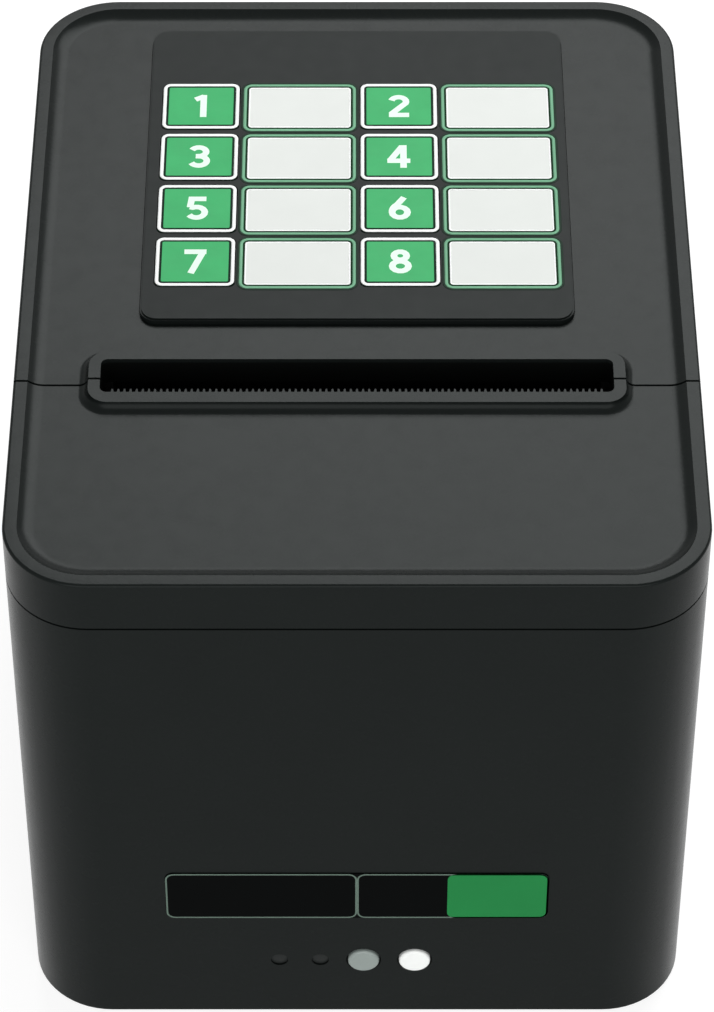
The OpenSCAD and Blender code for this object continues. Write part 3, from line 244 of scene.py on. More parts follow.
# Grain layers are (pattern, size in mm, depth in mm)
GRAIN = (("noise", 0.3, 0.009), ("cells", 0.8, 0.001))
SATIN = (("noise", 0.4, 0.0012),)
FINISHES = {
    "case_plastic": dict(
        sheen=COOL, paint="case", rough=0.27, specular=0.066, grain=GRAIN, tint=0.05,
    ),
    "lid_plastic": dict(
        sheen=COOL, paint="case", rough=0.27, specular=0.066, grain=GRAIN, tint=0.05,
    ),
    # Painted shade: the exit guide's near-black stands in for the shadow deep in the paper slot,
    # not for its own plastic.
    "chute_black": dict(
        colour=(0.0022, 0.0026, 0.0024), rough=0.7, specular=0.02, grain=SATIN, tint=0.1,
    ),
    "bezel_film": dict(
        sheen=COOL, paint="bezel", rough=0.42, specular=0.068, grain=SATIN, tint=0.04,
    ),
    "inner_plastic": dict(
        colour=(0.012, 0.012, 0.013), rough=0.5, specular=0.3, grain=SATIN, tint=0.15, edge=0.15,
    ),
    "key_film": dict(paint="key_shade", rough=0.6, specular=0.03, grain=SATIN, tint=0.04),
    "key_field": dict(paint="key", rough=0.42, specular=0.1, grain=SATIN, tint=0.05, patch=5),
    "key_line": dict(paint="key_line", rough=0.42, specular=0.1, grain=SATIN, tint=0.02),
    "digit": dict(paint="digit", rough=0.42, specular=0.1, grain=SATIN, tint=0.03, patch=2),
    "label_card": dict(
        paint="card", rough=0.6, specular=0.25, grain=SATIN, tint=0.015, patch=8,
    ),
    "card_edge": dict(paint="key_line", rough=0.55, specular=0.25, grain=SATIN, tint=0.01),
    "card_rim": dict(paint="card_rim", rough=0.42, specular=0.03, grain=SATIN, tint=0.06),
    "card_line": dict(paint="card_line", rough=0.42, specular=0.1, grain=SATIN, tint=0.06),
    "card_shade": dict(paint="card_shade", rough=0.5, specular=0.03, grain=SATIN, tint=0.06),
    "badge_film": dict(paint="badge", rough=0.35, specular=0.012, grain=SATIN, tint=0.05),
    "badge_line": dict(paint="badge_line", rough=0.4, specular=0.1, grain=SATIN, tint=0.05),
    "badge_block": dict(paint="badge_block", rough=0.4, specular=0.1, grain=SATIN, tint=0.06),
    # Painted light: the lamp lenses are the case's charcoal, made paler to lift the shade in their
    # recesses so that they read as the front's tone.
    "lamp_lens": dict(
        colour=(0.017, 0.019, 0.0185), rough=0.4, specular=0.08, grain=SATIN, tint=0.05,
    ),
    "grey_button": dict(paint="power", rough=0.4, grain=SATIN, tint=0.04, patch=2),
    "white_button": dict(paint="feed", rough=0.4, grain=SATIN, tint=0.02, patch=2),
    "steel": dict(
        colour=(0.55, 0.56, 0.57), metal=1, rough=0.34, brushed=(0.06, 1, 1), tint=0.08, edge=0.08,
    ),
    "screw_steel": dict(
        colour=(0.05, 0.05, 0.055), metal=0.85, rough=0.4, grain=SATIN, tint=0.2, edge=0.1,
    ),
    "heatsink": dict(
        colour=(0.72, 0.73, 0.74), metal=1, rough=0.42, brushed=(0.05, 1, 1), tint=0.06, edge=0.08,
    ),
    "ceramic": dict(colour=(0.72, 0.70, 0.62), rough=0.3, grain=SATIN, tint=0.04),
    "rubber": dict(colour=(0.018, 0.018, 0.018), rough=0.78, specular=0.3, tint=0.15,
                   grain=(("noise", 0.2, 0.02), ("cells", 0.6, 0.01))),
    "brass": dict(
        colour=(0.72, 0.52, 0.22), metal=1, rough=0.32, brushed=(1, 0.1, 0.1), tint=0.1, edge=0.06,
    ),
    "gear_nylon": dict(
        colour=(0.78, 0.76, 0.68), rough=0.46, grain=SATIN, tint=0.05, edge=0.06,
    ),
    "circuit_board": dict(
        colour=(0.016, 0.12, 0.05), rough=0.3, traces=True, tint=0.1, specular=0.5,
    ),
    "silicone": dict(colour=(0.42, 0.44, 0.43), rough=0.7, grain=SATIN, tint=0.05),
    "socket_black": dict(
        colour=(0.02, 0.02, 0.021), rough=0.45, grain=SATIN, tint=0.1, edge=0.1,
    ),
    "socket_metal": dict(
        colour=(0.6, 0.61, 0.63), metal=1, rough=0.26, brushed=(1, 0.08, 1), tint=0.05, edge=0.08,
    ),
    "paper": dict(colour=(0.84, 0.84, 0.81), rough=0.75, layers=0.12, tint=0.03, specular=0.2,
                  grain=(("noise", 0.3, 0.006),)),
    "core_card": dict(colour=(0.38, 0.28, 0.18), rough=0.9, layers=0.3, tint=0.12, specular=0.2,
                      grain=(("noise", 0.5, 0.03),)),
    "blade_steel": dict(
        colour=(0.006, 0.006, 0.007), rough=0.5, specular=0.08, brushed=(1, 0.06, 1), tint=0.1,
        edge=0.06,
    ),
    "ceramic_glaze": dict(colour=(0.55, 0.56, 0.52), rough=0.12, grain=SATIN, tint=0.05),
    "gold": dict(colour=(0.8, 0.58, 0.2), metal=1, rough=0.25, grain=SATIN, tint=0.05),
    "chip_black": dict(colour=(0.02, 0.02, 0.022), rough=0.5, grain=SATIN, tint=0.1),
    "solder": dict(colour=(0.62, 0.63, 0.64), metal=1, rough=0.35, grain=SATIN, tint=0.1),
}


# Sizes in mm that the finishes share
PATCH = 22
SCUFF, BRUSH_MARK = 3, 0.5
LAYER_DEPTH, BRUSH_DEPTH = 0.02, 0.008
TRACE_GAP, TRACE_LONG, TRACE_PITCH = 0.16, 6.2, 1.3
# Share of a grain cell that its rounded edge takes
CELL_EDGE = 0.22
# Factors on the colour of a trace and of a paper layer's edge
TRACE_PALER, LAYER_DARKER = 2.2, 0.72
# Divides the Wave texture's scale, so that its rings lie at the size of the paper's layers
WAVE_BANDS = 6.2
# How far the roughness strays from its value
ROUGH_PLAY = 0.02


def grain_height(tree, place, pattern, size):
    """The height of one grain layer."""
    scale = 1 / (size * MM)
    if pattern == "cells":
        made = node(tree, "ShaderNodeTexVoronoi", {
            "Vector": place, "Scale": scale, "Randomness": 1.0,
        }, feature="DISTANCE_TO_EDGE")
        return spread(tree, made.outputs["Distance"], 0.0, CELL_EDGE, 0.0, 1.0)
    made = node(tree, "ShaderNodeTexNoise", {
        "Vector": place, "Scale": scale, "Detail": 3.0, "Roughness": 0.55,
    })
    return made.outputs["Fac"]


def finish(name):
    """The procedural material of that name, made when it is first asked for."""
    label = name + "_finish"
    if label in bpy.data.materials:
        return bpy.data.materials[label]
    recipe = FINISHES[name]
    if "paint" in recipe:
        paint = tuple(getattr(settings().colours, recipe["paint"]))
    else:
        paint = recipe["colour"]
    made = bpy.data.materials.new(label)
    made.use_nodes = True
    tree = made.node_tree
    tree.nodes.clear()
    place = node(tree, "ShaderNodeTexCoord").outputs["Object"]
    shader = node(tree, "ShaderNodeBsdfPrincipled")
    out = node(tree, "ShaderNodeOutputMaterial", {"Surface": shader.outputs[0]})
    out.location.x = 400
    shader.inputs["Metallic"].default_value = recipe.get("metal", 0)
    shader.inputs["Specular IOR Level"].default_value = recipe.get("specular", 0.5)
    shader.inputs["Specular Tint"].default_value = (*recipe.get("sheen", (1, 1, 1)), 1)
    patch = recipe.get("patch", PATCH)
    clouds = node(tree, "ShaderNodeTexNoise", {
        "Vector": place, "Scale": 1 / (patch * MM), "Detail": 4.0, "Roughness": 0.6,
    }).outputs["Fac"]
    tint = recipe["tint"]
    pale = [min(c * (1 + tint), 1) for c in paint]
    deep = [c * (1 - tint) for c in paint]
    ground = blend(tree, spread(tree, clouds, 0.3, 0.7, 0, 1), deep, pale)
    bump = None
    if recipe.get("traces"):
        board = node(tree, "ShaderNodeMapping", {
            "Vector": place, "Rotation": (0, 0, math.radians(45)),
        })
        tracks = node(tree, "ShaderNodeTexBrick", {
            "Vector": board.outputs[0], "Scale": 1.0, "Mortar Size": TRACE_GAP * MM,
            "Brick Width": TRACE_LONG * MM, "Row Height": TRACE_PITCH * MM,
            "Color1": (0, 0, 0, 1), "Color2": (0, 0, 0, 1), "Mortar": (1, 1, 1, 1),
        }).outputs["Color"]
        ground = blend(tree, tracks, ground, [min(c * TRACE_PALER, 1) for c in paint])
    if recipe.get("layers"):
        rolls = node(tree, "ShaderNodeMapping", {
            "Vector": place, "Location": [-c for c in (0, *middle_of("paper_core")[1:])],
        }).outputs[0]
        rings = node(tree, "ShaderNodeTexWave", {
            "Vector": rolls, "Scale": 1 / (recipe["layers"] * MM) / WAVE_BANDS,
            "Distortion": 0.15, "Detail": 1.0,
        }, wave_type="RINGS", rings_direction="X").outputs["Fac"]
        darker = [c * LAYER_DARKER for c in paint]
        ground = blend(tree, spread(tree, rings, 0, 1, 0.35, 0), ground, darker)
        bump = node(tree, "ShaderNodeBump", {
            "Height": rings, "Distance": LAYER_DEPTH * MM, "Strength": 0.6,
        }).outputs[0]
    tree.links.new(ground, shader.inputs["Base Color"])
    fine = place
    mark = SCUFF
    if recipe.get("brushed"):
        mark = BRUSH_MARK
        fine = node(tree, "ShaderNodeMapping", {
            "Vector": place, "Scale": recipe["brushed"],
        }).outputs[0]
    scuffs = node(tree, "ShaderNodeTexNoise", {
        "Vector": fine, "Scale": 1 / (mark * MM), "Detail": 3.0,
    }).outputs["Fac"]
    rough = recipe["rough"]
    uneven = spread(tree, scuffs, 0.25, 0.75, rough - ROUGH_PLAY, rough + ROUGH_PLAY)
    tree.links.new(uneven, shader.inputs["Roughness"])
    if recipe.get("edge"):
        bump = node(tree, "ShaderNodeBevel", {"Radius": recipe["edge"] * MM}, samples=4).outputs[0]
    if recipe.get("brushed"):
        sockets = {"Height": scuffs, "Distance": BRUSH_DEPTH * MM, "Strength": 0.5}
        if bump:
            sockets["Normal"] = bump
        bump = node(tree, "ShaderNodeBump", sockets).outputs[0]
    for pattern, size, depth in recipe.get("grain", ()):
        height = grain_height(tree, place, pattern, size)
        sockets = {"Height": height, "Distance": depth * MM, "Strength": 1.0}
        if bump:
            sockets["Normal"] = bump
        bump = node(tree, "ShaderNodeBump", sockets).outputs[0]
    if bump:
        tree.links.new(bump, shader.inputs["Normal"])
    return made


# ------------------------------------------------------------------ piece helpers


def add_piece(name, mesh, body, materials):
    """Links a finished mesh as a piece that rides on a body."""
    made = bpy.data.objects.new(name, mesh)
    bpy.context.collection.objects.link(made)
    mesh.materials.clear()
    for item in materials:
        mesh.materials.append(finish(item))
    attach(made, body)
    return made


def shade(mesh, degrees=30):
    """Smooth shading, with the sharp edges kept."""
    bm = bmesh.new()
    bm.from_mesh(mesh)
    for edge in bm.edges:
        edge.smooth = edge.is_manifold and edge.calc_face_angle(0) < math.radians(degrees)
    for face in bm.faces:
        face.smooth = True
    bm.to_mesh(mesh)
    bm.free()


def skin(node_name, name, body, slot_name, degrees=30):
    """A merged copy of a CAD node's mesh with even, smooth shading."""
    mesh = frame["nodes"][node_name].data.copy()
    mesh.name = name
    bm = bmesh.new()
    bm.from_mesh(mesh)
    bmesh.ops.remove_doubles(bm, verts=bm.verts, dist=1e-6)
    bm.to_mesh(mesh)
    bm.free()
    shade(mesh, degrees)
    made = add_piece(name, mesh, body, [slot_name])
    for face in mesh.polygons:
        face.material_index = 0
    even = made.modifiers.new("Even shading", "WEIGHTED_NORMAL")
    even.keep_sharp = True
    even.weight = 100
    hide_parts(node_name)
    return made


def lathe(name, profile, steps, matrix, body, slot_name, materials=None, degrees=30):
    """Turns a profile of (radius, height) in mm round Z, then places it.

    A radius of 0 closes an end. A profile that ends where it starts makes a ring.
    """
    bm = bmesh.new()
    rings = []
    for radius, height in [(r * MM, h * MM) for r, h in profile]:
        if radius <= 0:
            rings.append([bm.verts.new((0, 0, height))])
            continue
        turns = [2 * math.pi * i / steps for i in range(steps)]
        rings.append([
            bm.verts.new((radius * math.cos(turn), radius * math.sin(turn), height))
            for turn in turns
        ])
    if profile[0] == profile[-1]:
        bmesh.ops.delete(bm, geom=rings.pop(), context="VERTS")
        rings.append(rings[0])
    for low, high in zip(rings, rings[1:]):
        for i in range(steps):
            j = (i + 1) % steps
            corners = [
                low[i % len(low)], low[j % len(low)], high[j % len(high)], high[i % len(high)],
            ]
            bm.faces.new(list(dict.fromkeys(corners)))
    bmesh.ops.recalc_face_normals(bm, faces=bm.faces)
    bm.transform(matrix)
    mesh = bpy.data.meshes.new(name)
    bm.to_mesh(mesh)
    bm.free()
    shade(mesh, degrees)
    return add_piece(name, mesh, body, materials or [slot_name])


def grow(name, tree, values, body, material):
    """Runs a geometry tree once and keeps its mesh as a piece."""
    made = bpy.data.objects.new(name, bpy.data.meshes.new(name))
    bpy.context.collection.objects.link(made)
    maker = made.modifiers.new("Maker", "NODES")
    maker.node_group = tree
    values = dict(values, Material=finish(material))
    for socket in tree.interface.items_tree:
        if socket.in_out == "INPUT" and socket.name in values:
            maker[socket.identifier] = values[socket.name]
    ready = made.evaluated_get(bpy.context.evaluated_depsgraph_get())
    mesh = bpy.data.meshes.new_from_object(ready)
    made.modifiers.remove(maker)
    made.data = mesh
    mesh.name = name
    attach(made, body)
    return made


# ------------------------------------------------------------------ geometry trees

FLOAT, INTEGER, VECTOR = "NodeSocketFloat", "NodeSocketInt", "NodeSocketVector"


def new_tree(name, inputs):
    """A geometry tree with named inputs, a Material input and one output."""
    tree = bpy.data.node_groups.new(name, "GeometryNodeTree")
    for label, kind in inputs + [("Material", "NodeSocketMaterial")]:
        tree.interface.new_socket(name=label, in_out="INPUT", socket_type=kind)
    tree.interface.new_socket(name="Geometry", in_out="OUTPUT", socket_type="NodeSocketGeometry")
    return tree, tree.nodes.new("NodeGroupInput").outputs


def maths(tree, operation, *values):
    made = node(tree, "ShaderNodeMath", dict(enumerate(values)), operation=operation)
    return made.outputs[0]


def close_tree(tree, shape, given):
    """Repeats the shape in rows and columns, and gives it its material."""
    placed = node(tree, "GeometryNodeInstanceOnPoints", {
        "Points": row_points(tree, given), "Instance": shape,
    }).outputs[0]
    whole = node(tree, "GeometryNodeRealizeInstances", {"Geometry": placed}).outputs[0]
    painted = node(tree, "GeometryNodeSetMaterial", {
        "Geometry": whole, "Material": given["Material"],
    }).outputs[0]
    node(tree, "NodeGroupOutput", {"Geometry": painted})
    return tree


def row_points(tree, given):
    """Points in rows and columns, from the first place on."""
    index = node(tree, "GeometryNodeInputIndex").outputs[0]
    column = maths(tree, "MODULO", index, given["Columns"])
    row = maths(tree, "FLOOR", maths(tree, "DIVIDE", index, given["Columns"]))
    step = node(tree, "ShaderNodeCombineXYZ", {
        "X": maths(tree, "MULTIPLY", column, given["Column Pitch"]),
        "Y": maths(tree, "MULTIPLY", row, given["Row Pitch"]),
    }).outputs[0]
    spot = node(tree, "ShaderNodeVectorMath", {
        0: given["First"], 1: step,
    }, operation="ADD").outputs[0]
    count = maths(tree, "MULTIPLY", given["Columns"], given["Rows"])
    return node(tree, "GeometryNodePoints", {"Count": count, "Position": spot}).outputs[0]


GRID = [
    ("First", VECTOR), ("Columns", INTEGER), ("Rows", INTEGER),
    ("Column Pitch", FLOAT), ("Row Pitch", FLOAT),
]


def outline_tree():
    """A printed line round a rectangle with round corners, repeated in rows and columns."""
    tree, given = new_tree("Printed outline", GRID + [
        ("Width", FLOAT), ("Length", FLOAT), ("Line", FLOAT), ("Corner", FLOAT), ("Ink", FLOAT),
    ])
    half = maths(tree, "MULTIPLY", given["Line"], 0.5)
    path = node(tree, "GeometryNodeCurvePrimitiveQuadrilateral", {
        "Width": maths(tree, "SUBTRACT", given["Width"], given["Line"]),
        "Height": maths(tree, "SUBTRACT", given["Length"], given["Line"]),
    }).outputs[0]
    turned = node(tree, "GeometryNodeFilletCurve", {
        "Curve": path, "Radius": maths(tree, "SUBTRACT", given["Corner"], half), "Count": 6,
    }, mode="POLY").outputs[0]
    section = node(tree, "GeometryNodeCurvePrimitiveQuadrilateral", {
        "Width": given["Line"], "Height": given["Ink"],
    }).outputs[0]
    line = node(tree, "GeometryNodeCurveToMesh", {
        "Curve": turned, "Profile Curve": section,
    }).outputs[0]
    return close_tree(tree, line, given)


def field_tree():
    """A printed field: a thin slab with round corners, repeated in rows and columns."""
    tree, given = new_tree("Printed field", GRID + [
        ("Width", FLOAT), ("Length", FLOAT), ("Corner", FLOAT), ("Ink", FLOAT),
    ])
    edge = node(tree, "GeometryNodeFilletCurve", {
        "Curve": node(tree, "GeometryNodeCurvePrimitiveQuadrilateral", {
            "Width": given["Width"], "Height": given["Length"],
        }).outputs[0],
        "Radius": given["Corner"], "Count": 5,
    }, mode="POLY").outputs[0]
    rise = node(tree, "ShaderNodeCombineXYZ", {"Z": given["Ink"]}).outputs[0]
    post = node(tree, "GeometryNodeCurvePrimitiveLine", {"End": rise}).outputs[0]
    slab = node(tree, "GeometryNodeCurveToMesh", {
        "Curve": post, "Profile Curve": edge, "Fill Caps": True,
    }).outputs[0]
    return close_tree(tree, slab, given)


def spring_tree():
    """Coil springs in a row, their axes along Y."""
    tree, given = new_tree("Coil springs", GRID + [
        ("Turns", FLOAT), ("Radius", FLOAT), ("Reach", FLOAT), ("Wire", FLOAT),
    ])
    coil = node(tree, "GeometryNodeCurveSpiral", {
        "Resolution": 20, "Rotations": given["Turns"], "Start Radius": given["Radius"],
        "End Radius": given["Radius"], "Height": given["Reach"],
    }).outputs[0]
    wire = node(tree, "GeometryNodeCurvePrimitiveCircle", {
        "Resolution": 8, "Radius": maths(tree, "MULTIPLY", given["Wire"], 0.5),
    }).outputs[0]
    body = node(tree, "GeometryNodeCurveToMesh", {
        "Curve": coil, "Profile Curve": wire, "Fill Caps": True,
    }).outputs[0]
    laid = node(tree, "GeometryNodeTransform", {
        "Geometry": body, "Rotation": (-math.pi / 2, 0, 0),
    }).outputs[0]
    smooth = node(tree, "GeometryNodeSetShadeSmooth", {"Geometry": laid}).outputs[0]
    return close_tree(tree, smooth, given)


# ------------------------------------------------------------------ operators


def seen_share(tree):
    """1 where the camera sees a surface, straight on or in a gloss or a clear part, otherwise 0."""
    ray = node(tree, "ShaderNodeLightPath").outputs
    shown = maths(tree, "MAXIMUM", ray["Is Camera Ray"], ray["Is Glossy Ray"])
    return maths(tree, "MAXIMUM", shown, ray["Is Transmission Ray"])


FLOOR_REACH = 4
FLOOR_PALE, FLOOR_GLOW, FLOOR_SHARE = 0.85, 1.25, 0.65
SENSOR_WIDTH = 36


class PRINTER_OT_stage(bpy.types.Operator):
    """Sets the floor, the lamps and the camera"""

    bl_idname = "printer.stage"
    bl_label = "Stage"

    def execute(self, context):
        stage = settings().stage
        bpy.context.scene.view_settings.view_transform = "Standard"
        mesh = bpy.data.meshes.new("floor")
        bm = bmesh.new()
        bmesh.ops.create_grid(bm, x_segments=4, y_segments=4, size=FLOOR_REACH)
        bm.to_mesh(mesh)
        bm.free()
        floor = bpy.data.objects.new("floor", mesh)
        bpy.context.collection.objects.link(floor)
        mesh.materials.append(self.floor_material())
        self.surround(stage)
        self.lamp(
            "key_lamp", place=(0.18, 0.62, 0.79), target=(0, 0, 0.1), size=(0.9, 0.5),
            power=stage.key_light,
        )
        self.lamp(
            "fill_lamp", place=(0, -1.6, 0.6), target=(0, 0, 0.06), size=(2.2, 1.6),
            power=stage.fill_light,
        )
        camera = bpy.data.objects.new("camera", bpy.data.cameras.new("camera"))
        bpy.context.collection.objects.link(camera)
        camera.location = stage.camera_place
        camera.rotation_euler = (stage.camera_pitch, 0, 0)
        camera.data.sensor_width = SENSOR_WIDTH
        camera.data.lens = stage.lens
        camera.data.clip_start = 0.01
        camera.data.clip_end = 20
        bpy.context.scene.camera = camera
        return {"FINISHED"}

    def floor_material(self):
        made = bpy.data.materials.new("floor")
        made.use_nodes = True
        tree = made.node_tree
        tree.nodes.clear()
        pale = node(tree, "ShaderNodeBsdfDiffuse", {
            "Color": (FLOOR_PALE, FLOOR_PALE, FLOOR_PALE, 1),
        }).outputs[0]
        white = node(tree, "ShaderNodeEmission", {
            "Color": (1, 1, 1, 1), "Strength": FLOOR_GLOW,
        }).outputs[0]
        share = maths(tree, "MULTIPLY", seen_share(tree), FLOOR_SHARE)
        both = node(tree, "ShaderNodeMixShader", {0: share, 1: pale, 2: white}).outputs[0]
        node(tree, "ShaderNodeOutputMaterial", {"Surface": both})
        return made

    def surround(self, stage):
        world = bpy.data.worlds.new("surround")
        bpy.context.scene.world = world
        world.use_nodes = True
        tree = world.node_tree
        tree.nodes.clear()
        level = spread(tree, seen_share(tree), 0, 1, stage.sky, 1.0)
        back = node(tree, "ShaderNodeBackground", {
            "Color": (1, 1, 1, 1), "Strength": level,
        }).outputs[0]
        node(tree, "ShaderNodeOutputWorld", {"Surface": back})

    def lamp(self, name, place, target, size, power):
        light = bpy.data.lights.new(name, "AREA")
        light.shape = "ELLIPSE"
        light.size, light.size_y = size
        light.energy = power
        made = bpy.data.objects.new(name, light)
        bpy.context.collection.objects.link(made)
        made.location = place
        made.rotation_euler = (Vector(place) - Vector(target)).to_track_quat("Z", "Y").to_euler()


class PRINTER_OT_covers(bpy.types.Operator):
    """Dresses the case, the covers, the bezel and the two buttons"""

    bl_idname = "printer.covers"
    bl_label = "Case and covers"

    def execute(self, context):
        skin("body_shell", "case_walls", "case", "case_plastic")
        skin("front_cover", "cover_moulding", "case", "case_plastic")
        cover_tabs()
        skin("rear_lid", "lid_moulding", "lid", "lid_plastic")
        skin("keypad_bezel", "bezel_moulding", "lid", "bezel_film")
        skin("power_button", "power_button_cap", "power_key", "grey_button")
        skin("feed_button", "feed_button_cap", "feed_key", "white_button")
        return {"FINISHED"}


def cover_tabs():
    """The front cover's two tongues under the lid, which close the parting line at the sides."""
    before_edge, behind_edge = 1.6, 1.3
    inner_x, side_gap, thickness = 44.3, 2.75, 0.7
    leg_inset, leg_width = 1.65, 0.8
    ceiling_gap, foot_gap, bevel = 0.12, 0.2, 0.2
    low, high = [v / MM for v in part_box("front_cover")]
    front, rear = high.y - before_edge, high.y + behind_edge
    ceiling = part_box("keypad_board")[1].z / MM - ceiling_gap
    side = high.x - side_gap
    under = ceiling - thickness
    foot = low.z + foot_gap
    outer_leg = side - leg_inset
    inner_leg = outer_leg - leg_width
    profile = [
        (inner_x, ceiling), (inner_x, under), (inner_leg, under), (inner_leg, foot + bevel),
        (inner_leg + bevel, foot), (outer_leg, foot), (outer_leg, under), (side, under),
        (side, ceiling - bevel), (side - bevel, ceiling),
    ]
    bm = bmesh.new()
    for hand in (-1, 1):
        near = [bm.verts.new((hand * x, front, z)) for x, z in profile]
        far = [bm.verts.new((hand * x, rear, z)) for x, z in profile]
        bm.faces.new(near)
        bm.faces.new(far)
        for i in range(len(profile)):
            j = (i + 1) % len(profile)
            bm.faces.new([near[i], near[j], far[j], far[i]])
    bmesh.ops.recalc_face_normals(bm, faces=bm.faces)
    bm.transform(Matrix.Scale(MM, 4))
    mesh = bpy.data.meshes.new("cover_tabs")
    bm.to_mesh(mesh)
    bm.free()
    add_piece("cover_tabs", mesh, "case", ["case_plastic"])


class PRINTER_OT_inner_parts(bpy.types.Operator):
    """Gives every carried-over part its finish"""

    bl_idname = "printer.inner_parts"
    bl_label = "Finishes of the parts"

    def execute(self, context):
        slots = {part["node"]: part["material_slot"] for part in frame["record"]["subparts"]}
        # The exit guide takes the painted shade of the slot's shadowed inside, in place of its own
        # plastic.
        slots["exit_guide"] = "chute_black"
        for name, part in frame["nodes"].items():
            for place in part.material_slots:
                place.material = finish(slots[name])
        return {"FINISHED"}


KEY_BODIES = [("key_%d" % n, "key_%d_cap" % n, n) for n in range(1, 9)]


class PRINTER_OT_keys(bpy.types.Operator):
    """Prints the green fields, the white outlines and the digits on the keys"""

    bl_idname = "printer.keys"
    bl_label = "Keys"

    def execute(self, context):
        size = settings().keypad
        outline, field = outline_tree(), field_tree()
        for name, body, number in KEY_BODIES:
            low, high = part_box(name)
            wide, long = high.x - low.x, high.y - low.y
            centre = Vector(((low.x + high.x) / 2, (low.y + high.y) / 2, high.z))
            once = {"Columns": 1, "Rows": 1, "Ink": size.ink}
            grow(name + "_outline", outline, dict(
                once, First=centre, Width=wide, Length=long, Line=size.outline, Corner=size.corner,
            ), body, "key_line")
            inset = 2 * (size.outline + size.shade)
            grow(name + "_field", field, dict(
                once, First=centre - Vector((0, 0, OVERLAP)),
                Width=wide - inset, Length=long - inset, Corner=0.3 * MM,
            ), body, "key_field")
            self.digit(name, body, number, centre + Vector((0, 0, size.ink - 2 * OVERLAP)), size)
        return {"FINISHED"}

    def digit(self, name, body, number, spot, size):
        scale = size.digit_height / (DIGIT_HEIGHT * MM)
        mesh = stroke_mesh(DIGITS[number], scale, size.digit_stroke, size.ink)
        mesh.transform(Matrix.Translation(spot))
        add_piece(name + "_digit", mesh, body, ["digit"])


class PRINTER_OT_labels(bpy.types.Operator):
    """Prints the outlines round the label windows and edges their cards"""

    bl_idname = "printer.labels"
    bl_label = "Label windows"

    def execute(self, context):
        size = settings().keypad
        low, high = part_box("label_cards")
        key_7, key_5, key_8 = middle_of("key_7"), middle_of("key_5"), middle_of("key_8")
        pitch_x, pitch_y = key_8.x - key_7.x, key_5.y - key_7.y
        wide, long = size.card_wide, size.card_long
        window = high.x - low.x - pitch_x
        first = Vector((
            low.x + window / 2 + size.card_shift, key_7.y - size.card_drop,
            high.z + size.ink / 2 - OVERLAP,
        ))
        grid = {
            "First": first, "Columns": 2, "Rows": 4, "Column Pitch": pitch_x, "Row Pitch": pitch_y,
            "Ink": size.ink,
        }
        outline = outline_tree()
        line = size.card_rim
        dark = line + size.card_line
        white = dark + size.card_shade
        layers = (
            ("label_rims", "card_rim", 0.0, size.card_rim, 1.9 * MM),
            ("label_lines", "card_line", line, size.card_line, 1.5 * MM),
            ("label_shades", "card_shade", dark, size.card_shade, 0.95 * MM),
            ("label_borders", "card_edge", white, size.card_edge, 0.6 * MM),
        )
        for name, material, inset, line, corner in layers:
            grow(name, outline, dict(
                grid, Width=wide - 2 * inset, Length=long - 2 * inset, Line=line, Corner=corner,
            ), "lid", material)
        return {"FINISHED"}


class PRINTER_OT_badge(bpy.types.Operator):
    """Prints the two thin frames and the green end field on the front badge"""

    bl_idname = "printer.badge"
    bl_label = "Front badge"

    def execute(self, context):
        size = settings().badge
        low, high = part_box("front_badge")
        wide, tall = high.x - low.x, high.z - low.z
        ink = settings().keypad.ink
        turn = Matrix.Rotation(math.pi / 2, 4, "X")
        rise = Matrix.Translation((0, low.y - ink / 2 + OVERLAP, (low.z + high.z) / 2)) @ turn
        once = {"Columns": 1, "Rows": 1, "Row Pitch": 0.0, "Column Pitch": 0.0, "Ink": ink}
        lines = grow("badge_outlines", outline_tree(), dict(
            once, First=Vector((-wide / 4, 0, 0)), Columns=2, **{"Column Pitch": wide / 2},
            Width=wide / 2, Length=tall, Line=size.line, Corner=size.corner,
        ), "case", "badge_line")
        lines.data.transform(rise)
        block = grow("badge_end_field", field_tree(), dict(
            once, First=Vector((wide / 2 - size.block / 2, 0, -ink / 2)),
            Width=size.block, Length=tall, Corner=size.corner,
        ), "case", "badge_block")
        block.data.transform(rise)
        return {"FINISHED"}


class PRINTER_OT_springs(bpy.types.Operator):
    """Winds the two springs behind the print head"""

    bl_idname = "printer.springs"
    bl_label = "Print head springs"

    def execute(self, context):
        size = settings().inside
        low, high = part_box("head_springs")
        wire = size.spring_wire
        radius = (high.z - low.z) / 2 - wire / 2
        middle_z = (low.z + high.z) / 2
        coil = grow("head_spring_coils", spring_tree(), {
            "First": Vector((low.x + radius + wire / 2, low.y + wire / 2, middle_z)),
            "Columns": 2, "Rows": 1,
            "Column Pitch": high.x - low.x - 2 * radius - wire, "Row Pitch": 0.0,
            "Turns": float(size.spring_turns), "Radius": radius,
            "Reach": high.y - low.y - wire, "Wire": wire,
        }, "case", "steel")
        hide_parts("head_springs")
        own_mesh(coil)
        return {"FINISHED"}


